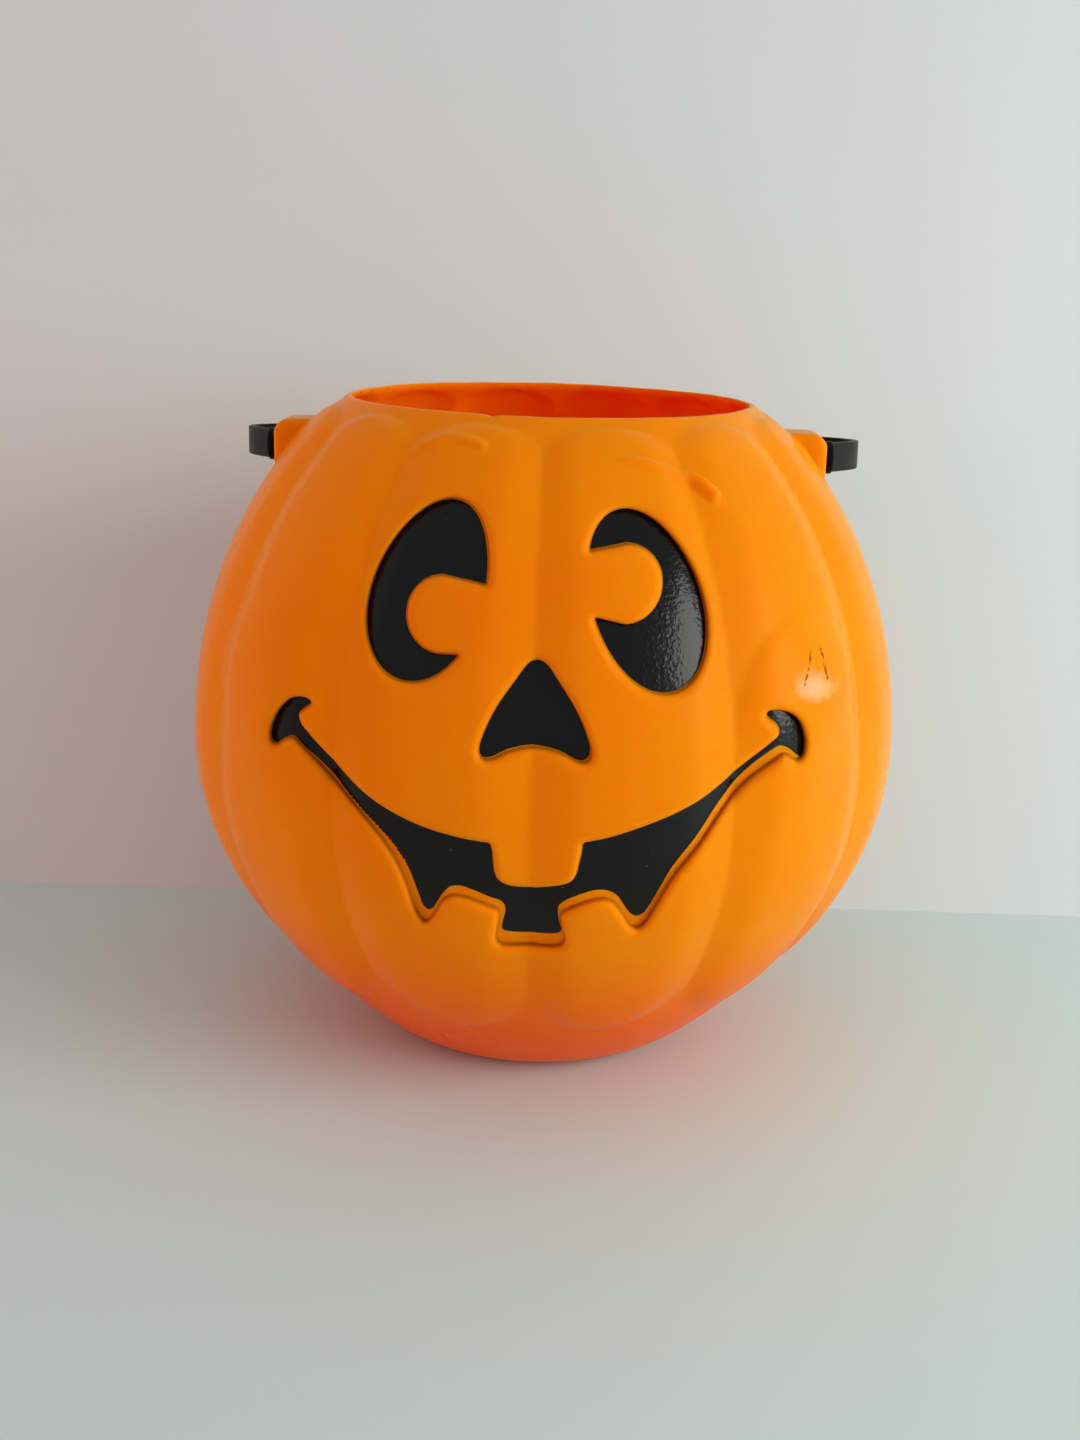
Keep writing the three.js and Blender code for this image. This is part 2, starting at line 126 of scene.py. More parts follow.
# Eyes: an oval that leans towards the nose, and a pupil whose half disc stays standing and opens
# towards the nose between its two edges. Millimetres and degrees, on the front of the pail.
LEFT_EYE = {"x": -28.5, "z": 159.7, "long": 23.7, "short": 14.7, "lean": 22, "taper": 0.09}
RIGHT_EYE = {"x": 28.7, "z": 158.3, "long": 23.9, "short": 13.9, "lean": -24, "taper": 0.04}
LEFT_PUPIL = {"x": -24.4, "z": 154.3, "radius": 9.6, "upper": 161, "lower": 145.3}
RIGHT_PUPIL = {"x": 23, "z": 162.8, "radius": 9.8, "upper": 169.1, "lower": 157.6}

# How far each spray mask lay off its pocket, in millimetres
PAINT_SLIPS = {"left_eye": (-0.4, -0.4), "right_eye": (-0.3, 0.15), "nose": (-0.35, 0.35)}


class PailBodySettings(bpy.types.PropertyGroup):
    """Sizes of the moulded pail."""

    height: bpy.props.FloatProperty(
        name="Height", description="Height of the rim", default=CAD_HEIGHT, unit="LENGTH")
    belly_radius: bpy.props.FloatProperty(
        name="Belly radius", description="Radius over the crests of the lobes", default=0.111, unit="LENGTH")
    belly_height: bpy.props.FloatProperty(
        name="Belly height", description="Height of the widest place", default=0.0975, unit="LENGTH")
    mouth_radius: bpy.props.FloatProperty(
        name="Mouth radius", description="Outer radius of the rim", default=0.062, unit="LENGTH")
    heel_radius: bpy.props.FloatProperty(
        name="Heel radius", description="Radius that the belly runs in to at the floor", default=0.052,
        unit="LENGTH")
    wall: bpy.props.FloatProperty(
        name="Wall", description="Thickness of the plastic", default=0.0018, unit="LENGTH")
    lobe_count: bpy.props.IntProperty(
        name="Lobes", description="Number of lobes round the pail", default=12, min=3)
    lobe_rise: bpy.props.FloatProperty(
        name="Lobe rise", description="Height of a lobe's crest over its creases", default=0.0028,
        unit="LENGTH")
    lobe_foot_end: bpy.props.FloatProperty(
        name="Lobe foot end", description="Length of a lobe's rounded lower end", default=0.02,
        unit="LENGTH")
    lobe_rim_end: bpy.props.FloatProperty(
        name="Lobe rim end", description="Length of a lobe's rounded upper end", default=0.006,
        unit="LENGTH")
    lobe_foot_gap: bpy.props.FloatProperty(
        name="Lobe foot gap", description="Height at which the lobes end over the floor", default=0.027,
        unit="LENGTH")
    lobe_rim_gap: bpy.props.FloatProperty(
        name="Lobe rim gap", description="Distance of the lobes' upper ends from the rim", default=0.0024,
        unit="LENGTH")
    crease_softness: bpy.props.FloatProperty(
        name="Crease softness", description="Share of a lobe's slope that rounds the bottom of a crease",
        default=0.03, subtype="FACTOR")
    flank_slope: bpy.props.FloatProperty(
        name="Flank slope", description="How many times a lobe's flank would rise over half its width",
        default=2.2, min=1)
    crest_sag: bpy.props.FloatProperty(
        name="Crest sag", description="Share of the rise that the crest falls before the flanks",
        default=0.15, subtype="FACTOR")
    foot_radius: bpy.props.FloatProperty(
        name="Foot radius", description="Outer radius of the ring that the pail stands on", default=0.044,
        unit="LENGTH")
    foot_height: bpy.props.FloatProperty(
        name="Foot height", description="Height of the foot under the lobes", default=0.009, unit="LENGTH")
    foot_curl: bpy.props.FloatProperty(
        name="Foot curl", description="Height at which the foot bends in to the floor", default=0.002,
        unit="LENGTH")
    push_up_radius: bpy.props.FloatProperty(
        name="Push-up radius", description="Inner radius of the ring that the pail stands on",
        default=0.0335, unit="LENGTH")
    push_up_slope: bpy.props.FloatProperty(
        name="Push-up slope", description="Width of the slope into the pushed-up base", default=0.005,
        unit="LENGTH")
    push_up_rise: bpy.props.FloatProperty(
        name="Push-up rise", description="Height of the middle of the base", default=0.003, unit="LENGTH")
    rim_drop: bpy.props.FloatProperty(
        name="Rim drop", description="How much lower the rim was trimmed on the right than on the left",
        default=0.0008, unit="LENGTH")


class PailFaceSettings(bpy.types.PropertyGroup):
    """Sizes of the face pockets and of the paint in them."""

    pocket_depth: bpy.props.FloatProperty(
        name="Pocket depth", description="Depth of a pocket's floor under the skin", default=0.0028,
        unit="LENGTH")
    floor_fillet: bpy.props.FloatProperty(
        name="Floor fillet", description="Rounding where a pocket's wall meets its floor", default=0.00035,
        unit="LENGTH")
    shoulder_width: bpy.props.FloatProperty(
        name="Shoulder width", description="Width of the rounding outside a pocket", default=0.0026,
        unit="LENGTH")
    shoulder_fullness: bpy.props.FloatProperty(
        name="Shoulder fullness", description="Power of the rounding: 2 is an oval, more is squarer",
        default=2.3, min=1)
    wall_start: bpy.props.FloatProperty(
        name="Wall start", description="Distance of the steepest place from the outline", default=0.0001,
        unit="LENGTH")
    # Paint dust and painted shade: the dark line also stands for the shade in the recess
    overspray: bpy.props.FloatProperty(
        name="Overspray and shade", description="Width of the dark line where paint dust fell on a pocket's wall",
        default=0.0003, unit="LENGTH")
    film_thickness: bpy.props.FloatProperty(
        name="Paint thickness", description="Thickness of the paint", default=0.00012, unit="LENGTH")
    film_edge: bpy.props.FloatProperty(
        name="Paint edge", description="Width of the rounded edge of the paint", default=0.0003,
        unit="LENGTH")


class PailHandleSettings(bpy.types.PropertyGroup):
    """Sizes of the strap handle and of the lugs that carry it."""

    pivot_height: bpy.props.FloatProperty(
        name="Pivot height", description="Height of the handle's axis", default=CAD_PIVOT, unit="LENGTH")
    lug_stand: bpy.props.FloatProperty(
        name="Lug stand", description="How far a lug stands out of the body at the pivot", default=0.0068,
        unit="LENGTH")
    lug_width: bpy.props.FloatProperty(
        name="Lug width", description="Width of a lug from front to back", default=0.016, unit="LENGTH")
    lug_above: bpy.props.FloatProperty(
        name="Lug above pivot", description="Height of a lug's top over the pivot", default=0.0085,
        unit="LENGTH")
    lug_below: bpy.props.FloatProperty(
        name="Lug below pivot", description="Depth of a lug's underside below the pivot", default=0.007,
        unit="LENGTH")
    lug_lean: bpy.props.FloatProperty(
        name="Lug lean", description="How far the top of a lug's face leans in", default=0.0024,
        unit="LENGTH")
    lug_rounding: bpy.props.FloatProperty(
        name="Lug rounding", description="Rounding of a lug's outer edges", default=0.0022, unit="LENGTH")
    bore_radius: bpy.props.FloatProperty(
        name="Bore radius", description="Radius of the hole in a lug", default=0.0032, unit="LENGTH")
    strap_width: bpy.props.FloatProperty(
        name="Strap width", description="Width of the strap", default=0.009, unit="LENGTH")
    strap_thickness: bpy.props.FloatProperty(
        name="Strap thickness", description="Thickness of the strap", default=0.002, unit="LENGTH")
    strap_rounding: bpy.props.FloatProperty(
        name="Strap rounding", description="Rounding of the strap's edges", default=0.0005, unit="LENGTH")
    strap_flare: bpy.props.FloatProperty(
        name="Strap flare", description="How far the strap spreads from the pivot to its waist",
        default=0.013, unit="LENGTH")
    strap_waist: bpy.props.FloatProperty(
        name="Strap waist", description="Distance of the strap's widest place from the pivot",
        default=0.034, unit="LENGTH")
    rest_droop: bpy.props.FloatProperty(
        name="Rest droop", description="Angle of the strap below level where it lies on the pail",
        default=math.radians(4), subtype="ANGLE")
    side_clearance: bpy.props.FloatProperty(
        name="Side clearance", description="Gap between the strap and a lug", default=0.0004, unit="LENGTH")
    neck_radius: bpy.props.FloatProperty(
        name="Neck radius", description="Radius of the neck in the bore", default=0.0028, unit="LENGTH")
    head_radius: bpy.props.FloatProperty(
        name="Head radius", description="Radius of the snap head inside a lug", default=0.0044,
        unit="LENGTH")
    head_length: bpy.props.FloatProperty(
        name="Head length", description="Length of the snap head", default=0.0026, unit="LENGTH")
    end_radius: bpy.props.FloatProperty(
        name="End radius", description="Radius of the round end of the strap", default=0.005, unit="LENGTH")


class PailFinishSettings(bpy.types.PropertyGroup):
    """Colours of the pail."""

    orange: bpy.props.FloatVectorProperty(
        name="Orange", description="Colour of the pail's plastic", default=(0.85, 0.29, 0.003),
        subtype="COLOR", size=3)
    # Also the colour of the painted shade towards the foot
    deep_orange: bpy.props.FloatVectorProperty(
        name="Deep orange", description="Colour of its denser patches", default=(0.9, 0.11, 0.001),
        subtype="COLOR", size=3)
    # A painted highlight: the paler colour of the glossy patch on the right cheek
    highlight_orange: bpy.props.FloatVectorProperty(
        name="Highlight orange", description="Colour of the plastic where it is rubbed",
        default=(0.95, 0.55, 0.3), subtype="COLOR", size=3)
    # Also the colour of the painted shade along the pocket walls, and of the scuffs
    dust: bpy.props.FloatVectorProperty(
        name="Dust", description="Colour of the plastic under paint dust", default=(0.12, 0.012, 0.002),
        subtype="COLOR", size=3)
    strap_black: bpy.props.FloatVectorProperty(
        name="Strap black", description="Colour of the handle", default=(0.007, 0.005, 0.005),
        subtype="COLOR", size=3)
    paint_black: bpy.props.FloatVectorProperty(
        name="Paint black", description="Colour of the face", default=(0.004, 0.003, 0.003),
        subtype="COLOR", size=3)


class PailStageSettings(bpy.types.PropertyGroup):
    """The floor, the lights and the camera."""

    floor_colour: bpy.props.FloatVectorProperty(
        name="Floor", description="Colour of the floor", default=(0.63, 0.76, 0.74), subtype="COLOR", size=3)
    wall_colour: bpy.props.FloatVectorProperty(
        name="Backdrop", description="Colour of the backdrop", default=(0.65, 0.71, 0.7),
        subtype="COLOR", size=3)
    key_power: bpy.props.FloatProperty(
        name="Key power", description="Power of the large soft light on the right", default=9.3,
        unit="POWER")
    glow_power: bpy.props.FloatProperty(
        name="Glow power", default=2.8, unit="POWER",
        description="Power of the red light that the pail and the room throw back on the left")
    soak_power: bpy.props.FloatProperty(
        name="Soak power", description="Power of the red light that soaks through the pail's walls",
        default=0.065, unit="POWER")
    sky_strength: bpy.props.FloatProperty(
        name="Sky strength", description="Strength of the even light all round", default=0.72)
    camera_distance: bpy.props.FloatProperty(
        name="Camera distance", description="Distance of the camera from the pail's axis, on the floor",
        default=0.5, unit="LENGTH")
    camera_height: bpy.props.FloatProperty(
        name="Camera height", description="Height of the camera", default=0.2435, unit="LENGTH")
    camera_turn: bpy.props.FloatProperty(
        name="Camera turn", description="Angle of the camera to the pail's front", default=math.radians(1.5),
        subtype="ANGLE")
    camera_pitch: bpy.props.FloatProperty(
        name="Camera pitch", description="Angle that the camera looks down", default=math.radians(16.1),
        subtype="ANGLE")
    camera_roll: bpy.props.FloatProperty(
        name="Camera roll", description="Angle that the picture is turned clockwise",
        default=math.radians(1.3), subtype="ANGLE")
    camera_lens: bpy.props.FloatProperty(
        name="Lens", description="Focal length for a 36 mm sensor", default=39.9, unit="CAMERA")


def smooth_step(value):
    """A soft step from 0 to 1."""
    held = np.clip(value, 0, 1)
    return held * held * (3 - 2 * held)


# How softly a lobe's flanks run into its crest, as a share of its rise
FLANK_BLEND = 0.3


def smooth_least(one, two, blend):
    """The lower of two values, with a soft change from one to the other."""
    near = np.maximum(blend - np.abs(one - two), 0) / blend
    return np.minimum(one, two) - near ** 3 * blend / 6


# The pail's section

SECTION_STEP = 0.5 * MM
FOOT_STEPS = 30
LIP_ROUNDING = 0.2 * MM
LIP_STEPS = 5
ANGLE_ROUNDS = 7


def skin_radius(body, z):
    """The radius of the smooth body, without its lobes, at a height over the foot."""
    belly = body.belly_radius - body.lobe_rise
    dome = (body.height - body.belly_height) / math.sqrt(1 - (body.mouth_radius / belly) ** 2)
    upper = belly * np.sqrt(np.clip(1 - ((z - body.belly_height) / dome) ** 2, 0, 1))
    spread = body.belly_radius - body.heel_radius
    lower = belly - spread * ((body.belly_height - z) / body.belly_height) ** 2
    return np.where(z >= body.belly_height, upper, lower)


def outer_section(body):
    """Rows of radius and height from the middle of the base out and up to the rim."""
    slope_start = body.push_up_radius - body.push_up_slope
    radius = np.arange(0, body.foot_radius, SECTION_STEP)
    rise = body.push_up_rise * (1 - smooth_step((radius - slope_start) / body.push_up_slope))
    base = np.column_stack([radius, rise])
    top = float(skin_radius(body, np.array(body.foot_height)))
    slope = (2 * (body.belly_radius - body.heel_radius) * (body.belly_height - body.foot_height)
             / body.belly_height ** 2)
    corners = np.array([
        [body.foot_radius, 0],
        [top - slope * (body.foot_height - body.foot_curl), body.foot_curl],
        [top, body.foot_height],
    ])
    share = np.linspace(0, 1, FOOT_STEPS)[:, None]
    foot = (1 - share) ** 2 * corners[0] + 2 * share * (1 - share) * corners[1] + share ** 2 * corners[2]
    z = np.arange(body.foot_height + SECTION_STEP, body.height, SECTION_STEP)
    z = np.append(z, body.height)
    return np.vstack([base, foot, np.column_stack([skin_radius(body, z), z])])


def inset_section(section, depth):
    """A section moved inwards by a depth, square to itself."""
    along = np.gradient(section, axis=0)
    along /= np.linalg.norm(along, axis=1)[:, None]
    outward = np.column_stack([along[:, 1], -along[:, 0]])
    return section - depth * outward


def lengths_along(line):
    """The distance of each point of a line from its start, along the line."""
    steps = np.linalg.norm(np.diff(line, axis=0), axis=1)
    return np.concatenate([[0], np.cumsum(steps)])


class Section:
    """The whole section of the pail as one line: outside from the base to the rim, over the trimmed
    lip, and down inside to the middle of the base."""

    def __init__(self, body):
        self.body = body
        outer = outer_section(body)
        inner = inset_section(outer, body.wall)
        inner[0, 0] = 0
        lip_radius = inner[-1, 0]
        turn = np.linspace(0, math.pi / 2, LIP_STEPS)[1:, None]
        outer_edge = np.column_stack([
            body.mouth_radius - LIP_ROUNDING * np.sin(turn), np.full_like(turn, body.height)])
        inner_edge = np.column_stack([
            lip_radius + LIP_ROUNDING * (1 - np.sin(turn)), body.height - LIP_ROUNDING * (1 - np.cos(turn))])
        lip = np.vstack([outer_edge, inner_edge])
        self.line = np.vstack([outer, lip, inner[::-1]])
        self.station = lengths_along(self.line)
        self.outer_count = len(outer)
        self.rim = self.station[len(outer) - 1]
        self.lip_end = self.station[len(outer) + len(lip) - 1]
        self.length = self.station[-1]

    def at(self, station):
        """Radius and height at a station."""
        return (np.interp(station, self.station, self.line[:, 0]),
                np.interp(station, self.station, self.line[:, 1]))

    def outward(self, station):
        """The section's outward direction at a station, as radius and height."""
        near = 0.4 * MM
        before = np.column_stack(self.at(station - near))
        after = np.column_stack(self.at(station + near))
        along = after - before
        along /= np.linalg.norm(along, axis=1)[:, None]
        return along[:, 1], -along[:, 0]

    def station_at_height(self, z, inside):
        """The station of a height on the outer or the inner skin, over the foot."""
        if inside:
            start = self.outer_count + int(np.argmax(self.station[self.outer_count:] > self.lip_end))
            heights = self.line[start:, 1][::-1]
            stations = self.station[start:][::-1]
            kept = slice(int(np.searchsorted(heights, self.body.foot_height + self.body.wall)), None)
            return np.interp(z, heights[kept], stations[kept])
        start = int(np.argmax(self.line[:, 1] >= self.body.foot_height))
        kept = slice(start, self.outer_count)
        return np.interp(z, self.line[kept, 1], self.station[kept])

    def lobe_swell(self, angle, z):
        """How far a lobe swells, from 0 in a crease to 1 on its crest."""
        body = self.body
        from_foot = (z - body.lobe_foot_gap) / body.lobe_foot_end
        from_rim = (body.height - body.lobe_rim_gap - z) / body.lobe_rim_end
        from_end = np.minimum(from_foot, from_rim)
        from_end = np.clip(from_end, 0, 1)
        opened = np.sqrt(1 - (1 - from_end) ** 2)
        turns = angle * body.lobe_count / (2 * math.pi)
        across = np.abs(2 * (turns - np.floor(turns)) - 1)
        share = np.minimum(across / np.maximum(opened, 1e-6), 1)
        height = smooth_least((1 - share) * body.flank_slope, 1 - body.crest_sag * share ** 2, FLANK_BLEND)
        soft = body.crease_softness
        eased = (np.sqrt(height ** 2 + soft ** 2) - soft) / (math.sqrt(1 + soft ** 2) - soft)
        return eased * np.sqrt(opened)

    def radius_with_lobes(self, angle, station):
        """The radius of the lobed skin."""
        radius, z = self.at(station)
        return radius + self.body.lobe_rise * self.lobe_swell(angle, z)

    def place(self, angle, station):
        """The point of the lobed skin at an angle from the front and a station."""
        radius = self.radius_with_lobes(angle, station)
        return np.column_stack([radius * np.sin(angle), -radius * np.cos(angle), self.at(station)[1]])

    def angle_of_front(self, x, station):
        """The angle of a point on the front of the skin that lies at x."""
        angle = np.zeros_like(x)
        for _ in range(ANGLE_ROUNDS):
            angle = np.arcsin(np.clip(x / self.radius_with_lobes(angle, station), -1, 1))
        return angle

    def angle_of_side(self, side, y, station):
        """The angle of a point on one side of the skin that lies at y."""
        angle = np.full_like(y, side * math.pi / 2)
        for _ in range(ANGLE_ROUNDS):
            lean = np.arcsin(np.clip(y / self.radius_with_lobes(angle, station), -1, 1))
            angle = side * (math.pi / 2 + lean)
        return angle


# Outlines in the front view

def smooth_stretch(points, step):
    """A centripetal curve through the points, with its end points."""
    points = np.array(points, float)
    line = [points[0]]
    for i in range(len(points) - 1):
        start, end = points[i], points[i + 1]
        before = points[i - 1] if i > 0 else 2 * start - end
        after = points[i + 2] if i + 2 < len(points) else 2 * end - start
        knots = np.cumsum([0] + [np.linalg.norm(b - a) ** 0.5
                                 for a, b in ((before, start), (start, end), (end, after))])
        count = max(1, round(float(np.linalg.norm(end - start)) / step))
        for k in range(1, count + 1):
            at = knots[1] + (knots[2] - knots[1]) * k / count

            def mix(a, b, first, last):
                return a + (b - a) * (at - knots[first]) / (knots[last] - knots[first])

            one = mix(mix(before, start, 0, 1), mix(start, end, 1, 2), 0, 2)
            two = mix(mix(start, end, 1, 2), mix(end, after, 2, 3), 1, 3)
            line.append(mix(one, two, 1, 2))
    return line


def even_closed(line, step):
    """A closed line again, with points at even steps."""
    closed = np.vstack([line, line[:1]])
    length = lengths_along(closed)
    count = max(8, round(length[-1] / step))
    places = np.arange(count) * length[-1] / count
    return np.column_stack([np.interp(places, length, column) for column in closed.T])


def softened(line, reach):
    """A closed line of even points with its corners rounded over a number of points."""
    weights = np.exp(-0.5 * (np.arange(-3 * reach, 3 * reach + 1) / reach) ** 2)
    weights /= weights.sum()
    result = np.zeros_like(line)
    for shift, weight in zip(range(-3 * reach, 3 * reach + 1), weights):
        result += weight * np.roll(line, shift, axis=0)
    return result


def signed_area(line):
    """The area inside a closed line, negative if it runs clockwise."""
    following = np.roll(line, -1, axis=0)
    return 0.5 * np.sum(line[:, 0] * following[:, 1] - following[:, 0] * line[:, 1])


def counterclockwise(line):
    """The same closed line, run counterclockwise."""
    return line if signed_area(line) > 0 else line[::-1]


OUTLINE_STEP = 0.2 * MM
CORNER_REACH = 2
STRETCH_STEP = 0.5
OVAL_STEPS = 240
PUPIL_STEPS = 90


def closed_outline(stretches):
    """A closed outline in metres from stretches in millimetres, with slightly rounded corners."""
    line = []
    for stretch in stretches:
        line += smooth_stretch(stretch, STRETCH_STEP)[:-1]
    even = even_closed(np.array(line) * MM, OUTLINE_STEP)
    return counterclockwise(softened(even, CORNER_REACH))


def oval_outline(eye):
    """An eye's whole oval."""
    turn = np.linspace(0, 2 * math.pi, OVAL_STEPS, endpoint=False)
    lean = math.radians(eye["lean"])
    across = eye["short"] * (1 - eye["taper"] * np.sin(turn)) * np.cos(turn)
    along = eye["long"] * np.sin(turn)
    return np.column_stack([
        eye["x"] + across * math.cos(lean) + along * math.sin(lean),
        eye["z"] - across * math.sin(lean) + along * math.cos(lean)]) * MM


def pupil_outline(pupil):
    """A pupil's half disc and the two edges that open towards the nose."""
    away = math.copysign(1, pupil["x"])
    turn = np.linspace(0, math.pi, PUPIL_STEPS)
    x = pupil["x"] + away * pupil["radius"] * np.sin(turn)
    z = pupil["z"] + pupil["radius"] * np.cos(turn)
    reach = pupil["x"] - away * 2 * pupil["radius"]
    line = np.column_stack([np.append(x, [reach, reach]), np.append(z, [pupil["lower"], pupil["upper"]])])
    return even_closed(line * MM, OUTLINE_STEP)


def is_inside(points, outline):
    """Which points lie inside a closed outline."""
    inside = np.zeros(len(points), bool)
    following = np.roll(outline, -1, axis=0)
    for (ax, az), (bx, bz) in zip(outline, following):
        if az == bz:
            continue
        crosses = (az > points[:, 1]) != (bz > points[:, 1])
        at = ax + (points[:, 1] - az) * (bx - ax) / (bz - az)
        inside ^= crosses & (points[:, 0] < at)
    return inside


def one_run(line, kept):
    """The kept points of a closed line as one open run. They have to follow each other."""
    start = int(np.argmax(kept & ~np.roll(kept, 1)))
    rolled = np.roll(line, -start, axis=0)
    return rolled[np.roll(kept, -start)]


def eye_outline(eye, pupil):
    """An eye's oval with its pupil left standing."""
    oval = even_closed(oval_outline(eye), OUTLINE_STEP)
    edge = pupil_outline(pupil)
    rest = one_run(oval, ~is_inside(oval, edge))
    notch = one_run(edge, is_inside(edge, oval))
    if np.linalg.norm(notch[0] - rest[-1]) > np.linalg.norm(notch[-1] - rest[-1]):
        notch = notch[::-1]
    even = even_closed(np.vstack([rest, notch]), OUTLINE_STEP)
    return counterclockwise(softened(even, CORNER_REACH))


def face_outlines():
    """The outlines of the four pockets by name."""
    return {
        "left_eye": Outline(eye_outline(LEFT_EYE, LEFT_PUPIL)),
        "right_eye": Outline(eye_outline(RIGHT_EYE, RIGHT_PUPIL)),
        "nose": Outline(closed_outline(NOSE_OUTLINE)),
        "mouth": Outline(closed_outline(MOUTH_OUTLINE)),
    }


class Outline:
    """A closed outline, counterclockwise, that can tell how far points lie from it."""

    def __init__(self, line):
        self.line = line
        self.tree = KDTree(len(line))
        for number, (x, z) in enumerate(line.tolist()):
            self.tree.insert((x, z, 0), number)
        self.tree.balance()
        self.along = np.roll(line, -1, axis=0) - line
        unit = self.along / np.linalg.norm(self.along, axis=1)[:, None]
        self.side = np.column_stack([unit[:, 1], -unit[:, 0]])
        self.corner = self.side + np.roll(self.side, 1, axis=0)
        self.corner /= np.linalg.norm(self.corner, axis=1)[:, None]

    def distance(self, points, reach):
        """Distances of points, negative inside. Farther than the reach they keep the reach."""
        result = np.full(len(points), reach)
        low, high = self.line.min(0) - reach, self.line.max(0) + reach
        chosen = np.flatnonzero(np.all((points > low) & (points < high), axis=1))
        if not len(chosen):
            return result
        spots = points[chosen]
        nearest = np.array([self.tree.find((x, z, 0))[1] for x, z in spots.tolist()])
        best = np.full(len(spots), np.inf)
        signed = np.zeros(len(spots))
        for start in (nearest, nearest - 1):
            along = self.along[start]
            offset = spots - self.line[start]
            share = (offset * along).sum(1) / (along ** 2).sum(1)
            held = np.clip(share, 0, 1)
            gap = offset - held[:, None] * along
            length = np.linalg.norm(gap, axis=1)
            following = (start + 1) % len(self.line)
            facing = np.where((share <= 0)[:, None], self.corner[start],
                              np.where((share >= 1)[:, None], self.corner[following], self.side[start]))
            sign = np.where((gap * facing).sum(1) < 0, -1.0, 1.0)
            closer = length < best
            best = np.where(closer, length, best)
            signed = np.where(closer, sign * length, signed)
        result[chosen] = np.clip(signed, -reach, reach)
        return result


def spread_points(outline, step, turn_step):
    """Points of a dense closed outline, closer together where it turns."""
    along = outline.along
    length = np.linalg.norm(along, axis=1)
    heading = np.arctan2(along[:, 1], along[:, 0])
    turning = np.abs((np.diff(heading, append=heading[:1]) + math.pi) % (2 * math.pi) - math.pi)
    cost = np.cumsum(length / step + np.roll(turning, 1) / turn_step)
    count = max(8, int(round(cost[-1])))
    return np.unique(np.searchsorted(cost, np.arange(count) * cost[-1] / count))


# Moved points nearer to the outline than this share of the way have folded over
FOLD_SHARE = 0.96
ON_OUTLINE = 0.02 * MM
LEVEL_REACH = 12 * MM


def level_line(outline, chosen, distance):
    """The chosen points of an outline moved out by a distance, and the edges between neighbours.
    Points that would fold over are left out."""
    along = np.roll(outline.line, -2, axis=0) - np.roll(outline.line, 2, axis=0)
    along /= np.linalg.norm(along, axis=1)[:, None]
    outward = np.column_stack([along[:, 1], -along[:, 0]])
    line = outline.line[chosen] + distance * outward[chosen]
    if abs(distance) > ON_OUTLINE:
        gap = np.abs(outline.distance(line, LEVEL_REACH))
        kept = np.flatnonzero(gap > FOLD_SHARE * abs(distance))
    else:
        kept = np.arange(len(line))
    line = line[kept]
    following = np.roll(np.arange(len(line)), -1)
    longest = 1.6 * MM + 1.6 * abs(distance)
    joined = np.linalg.norm(line[following] - line, axis=1) < longest
    edges = np.column_stack([np.arange(len(line)), following])[joined]
    return line, edges


# The profile of a pocket

def pocket_depth_at(face, distance):
    """Depth under the skin at a distance from a pocket's outline, negative inside."""
    drop = face.pocket_depth - face.floor_fillet
    power = face.shoulder_fullness
    share = np.clip(1 - (distance - face.wall_start) / face.shoulder_width, 0, 1)
    shoulder = drop * (1 - (1 - share ** power) ** (1 / power))
    inwards = np.clip((face.wall_start - distance) / face.floor_fillet, 0, 1)
    fillet = face.floor_fillet * np.sqrt(1 - (1 - inwards) ** 2)
    return shoulder + fillet


def pocket_levels(face):
    """The distances from an outline at which the skin needs a line of points."""
    power = face.shoulder_fullness
    shares = np.array([0.004, 0.02, 0.055, 0.12, 0.22, 0.36, 0.52, 0.68, 0.84, 1])
    reached = (1 - (1 - shares) ** power) ** (1 / power)
    shoulder = face.wall_start + face.shoulder_width * (1 - reached)
    fillet = face.wall_start - face.floor_fillet * (1 - np.cos(np.radians([28, 58, 90])))
    start = face.wall_start + face.shoulder_width
    return np.concatenate([[start + 0.9 * MM, start], shoulder, fillet, [fillet[-1] - 0.5 * MM]])


def back_depth_at(face, distance):
    """How far the inner skin stands in behind a pocket at a distance from its outline."""
    start, full = 4.4 * MM, 1.1 * MM
    return face.pocket_depth * smooth_step((start - distance) / (start - full))


# The flat pattern

class Pattern:
    """Points and edges on the flat pattern: x is the angle times one radius, y is the station."""

    RADIUS = 0.108

    def __init__(self):
        self.points = []
        self.edges = []
        self.count = 0

    def add(self, angle, station, edges=None):
        """Adds points and the edges between them, and returns the number of the first one."""
        first = self.count
        self.points.append(np.column_stack([np.asarray(angle) * self.RADIUS, station]))
        self.count += len(station)
        if edges is not None and len(edges):
            self.edges.append(np.asarray(edges) + first)
        return first

    def triangulate(self):
        """The pattern's points and triangles, and for each point added the number it got."""
        points = np.vstack(self.points)
        edges = np.vstack(self.edges) if self.edges else np.zeros((0, 2), int)
        result = delaunay_2d_cdt(
            [Vector(p) for p in points.tolist()], [tuple(e) for e in edges.tolist()], [], 0, 1e-8, True)
        made = np.array([tuple(v) for v in result[0]])
        triangles = np.array([f for f in result[2] if len(f) == 3])
        number = np.zeros(len(points), int)
        for new, olds in enumerate(result[3]):
            for old in olds:
                if old < len(number):
                    number[old] = new
        a, b, c = made[triangles[:, 0]], made[triangles[:, 1]], made[triangles[:, 2]]
        area = (b[:, 0] - a[:, 0]) * (c[:, 1] - a[:, 1]) - (b[:, 1] - a[:, 1]) * (c[:, 0] - a[:, 0])
        triangles[area < 0] = triangles[area < 0][:, ::-1]
        return made, triangles[np.abs(area) > 1e-14], number


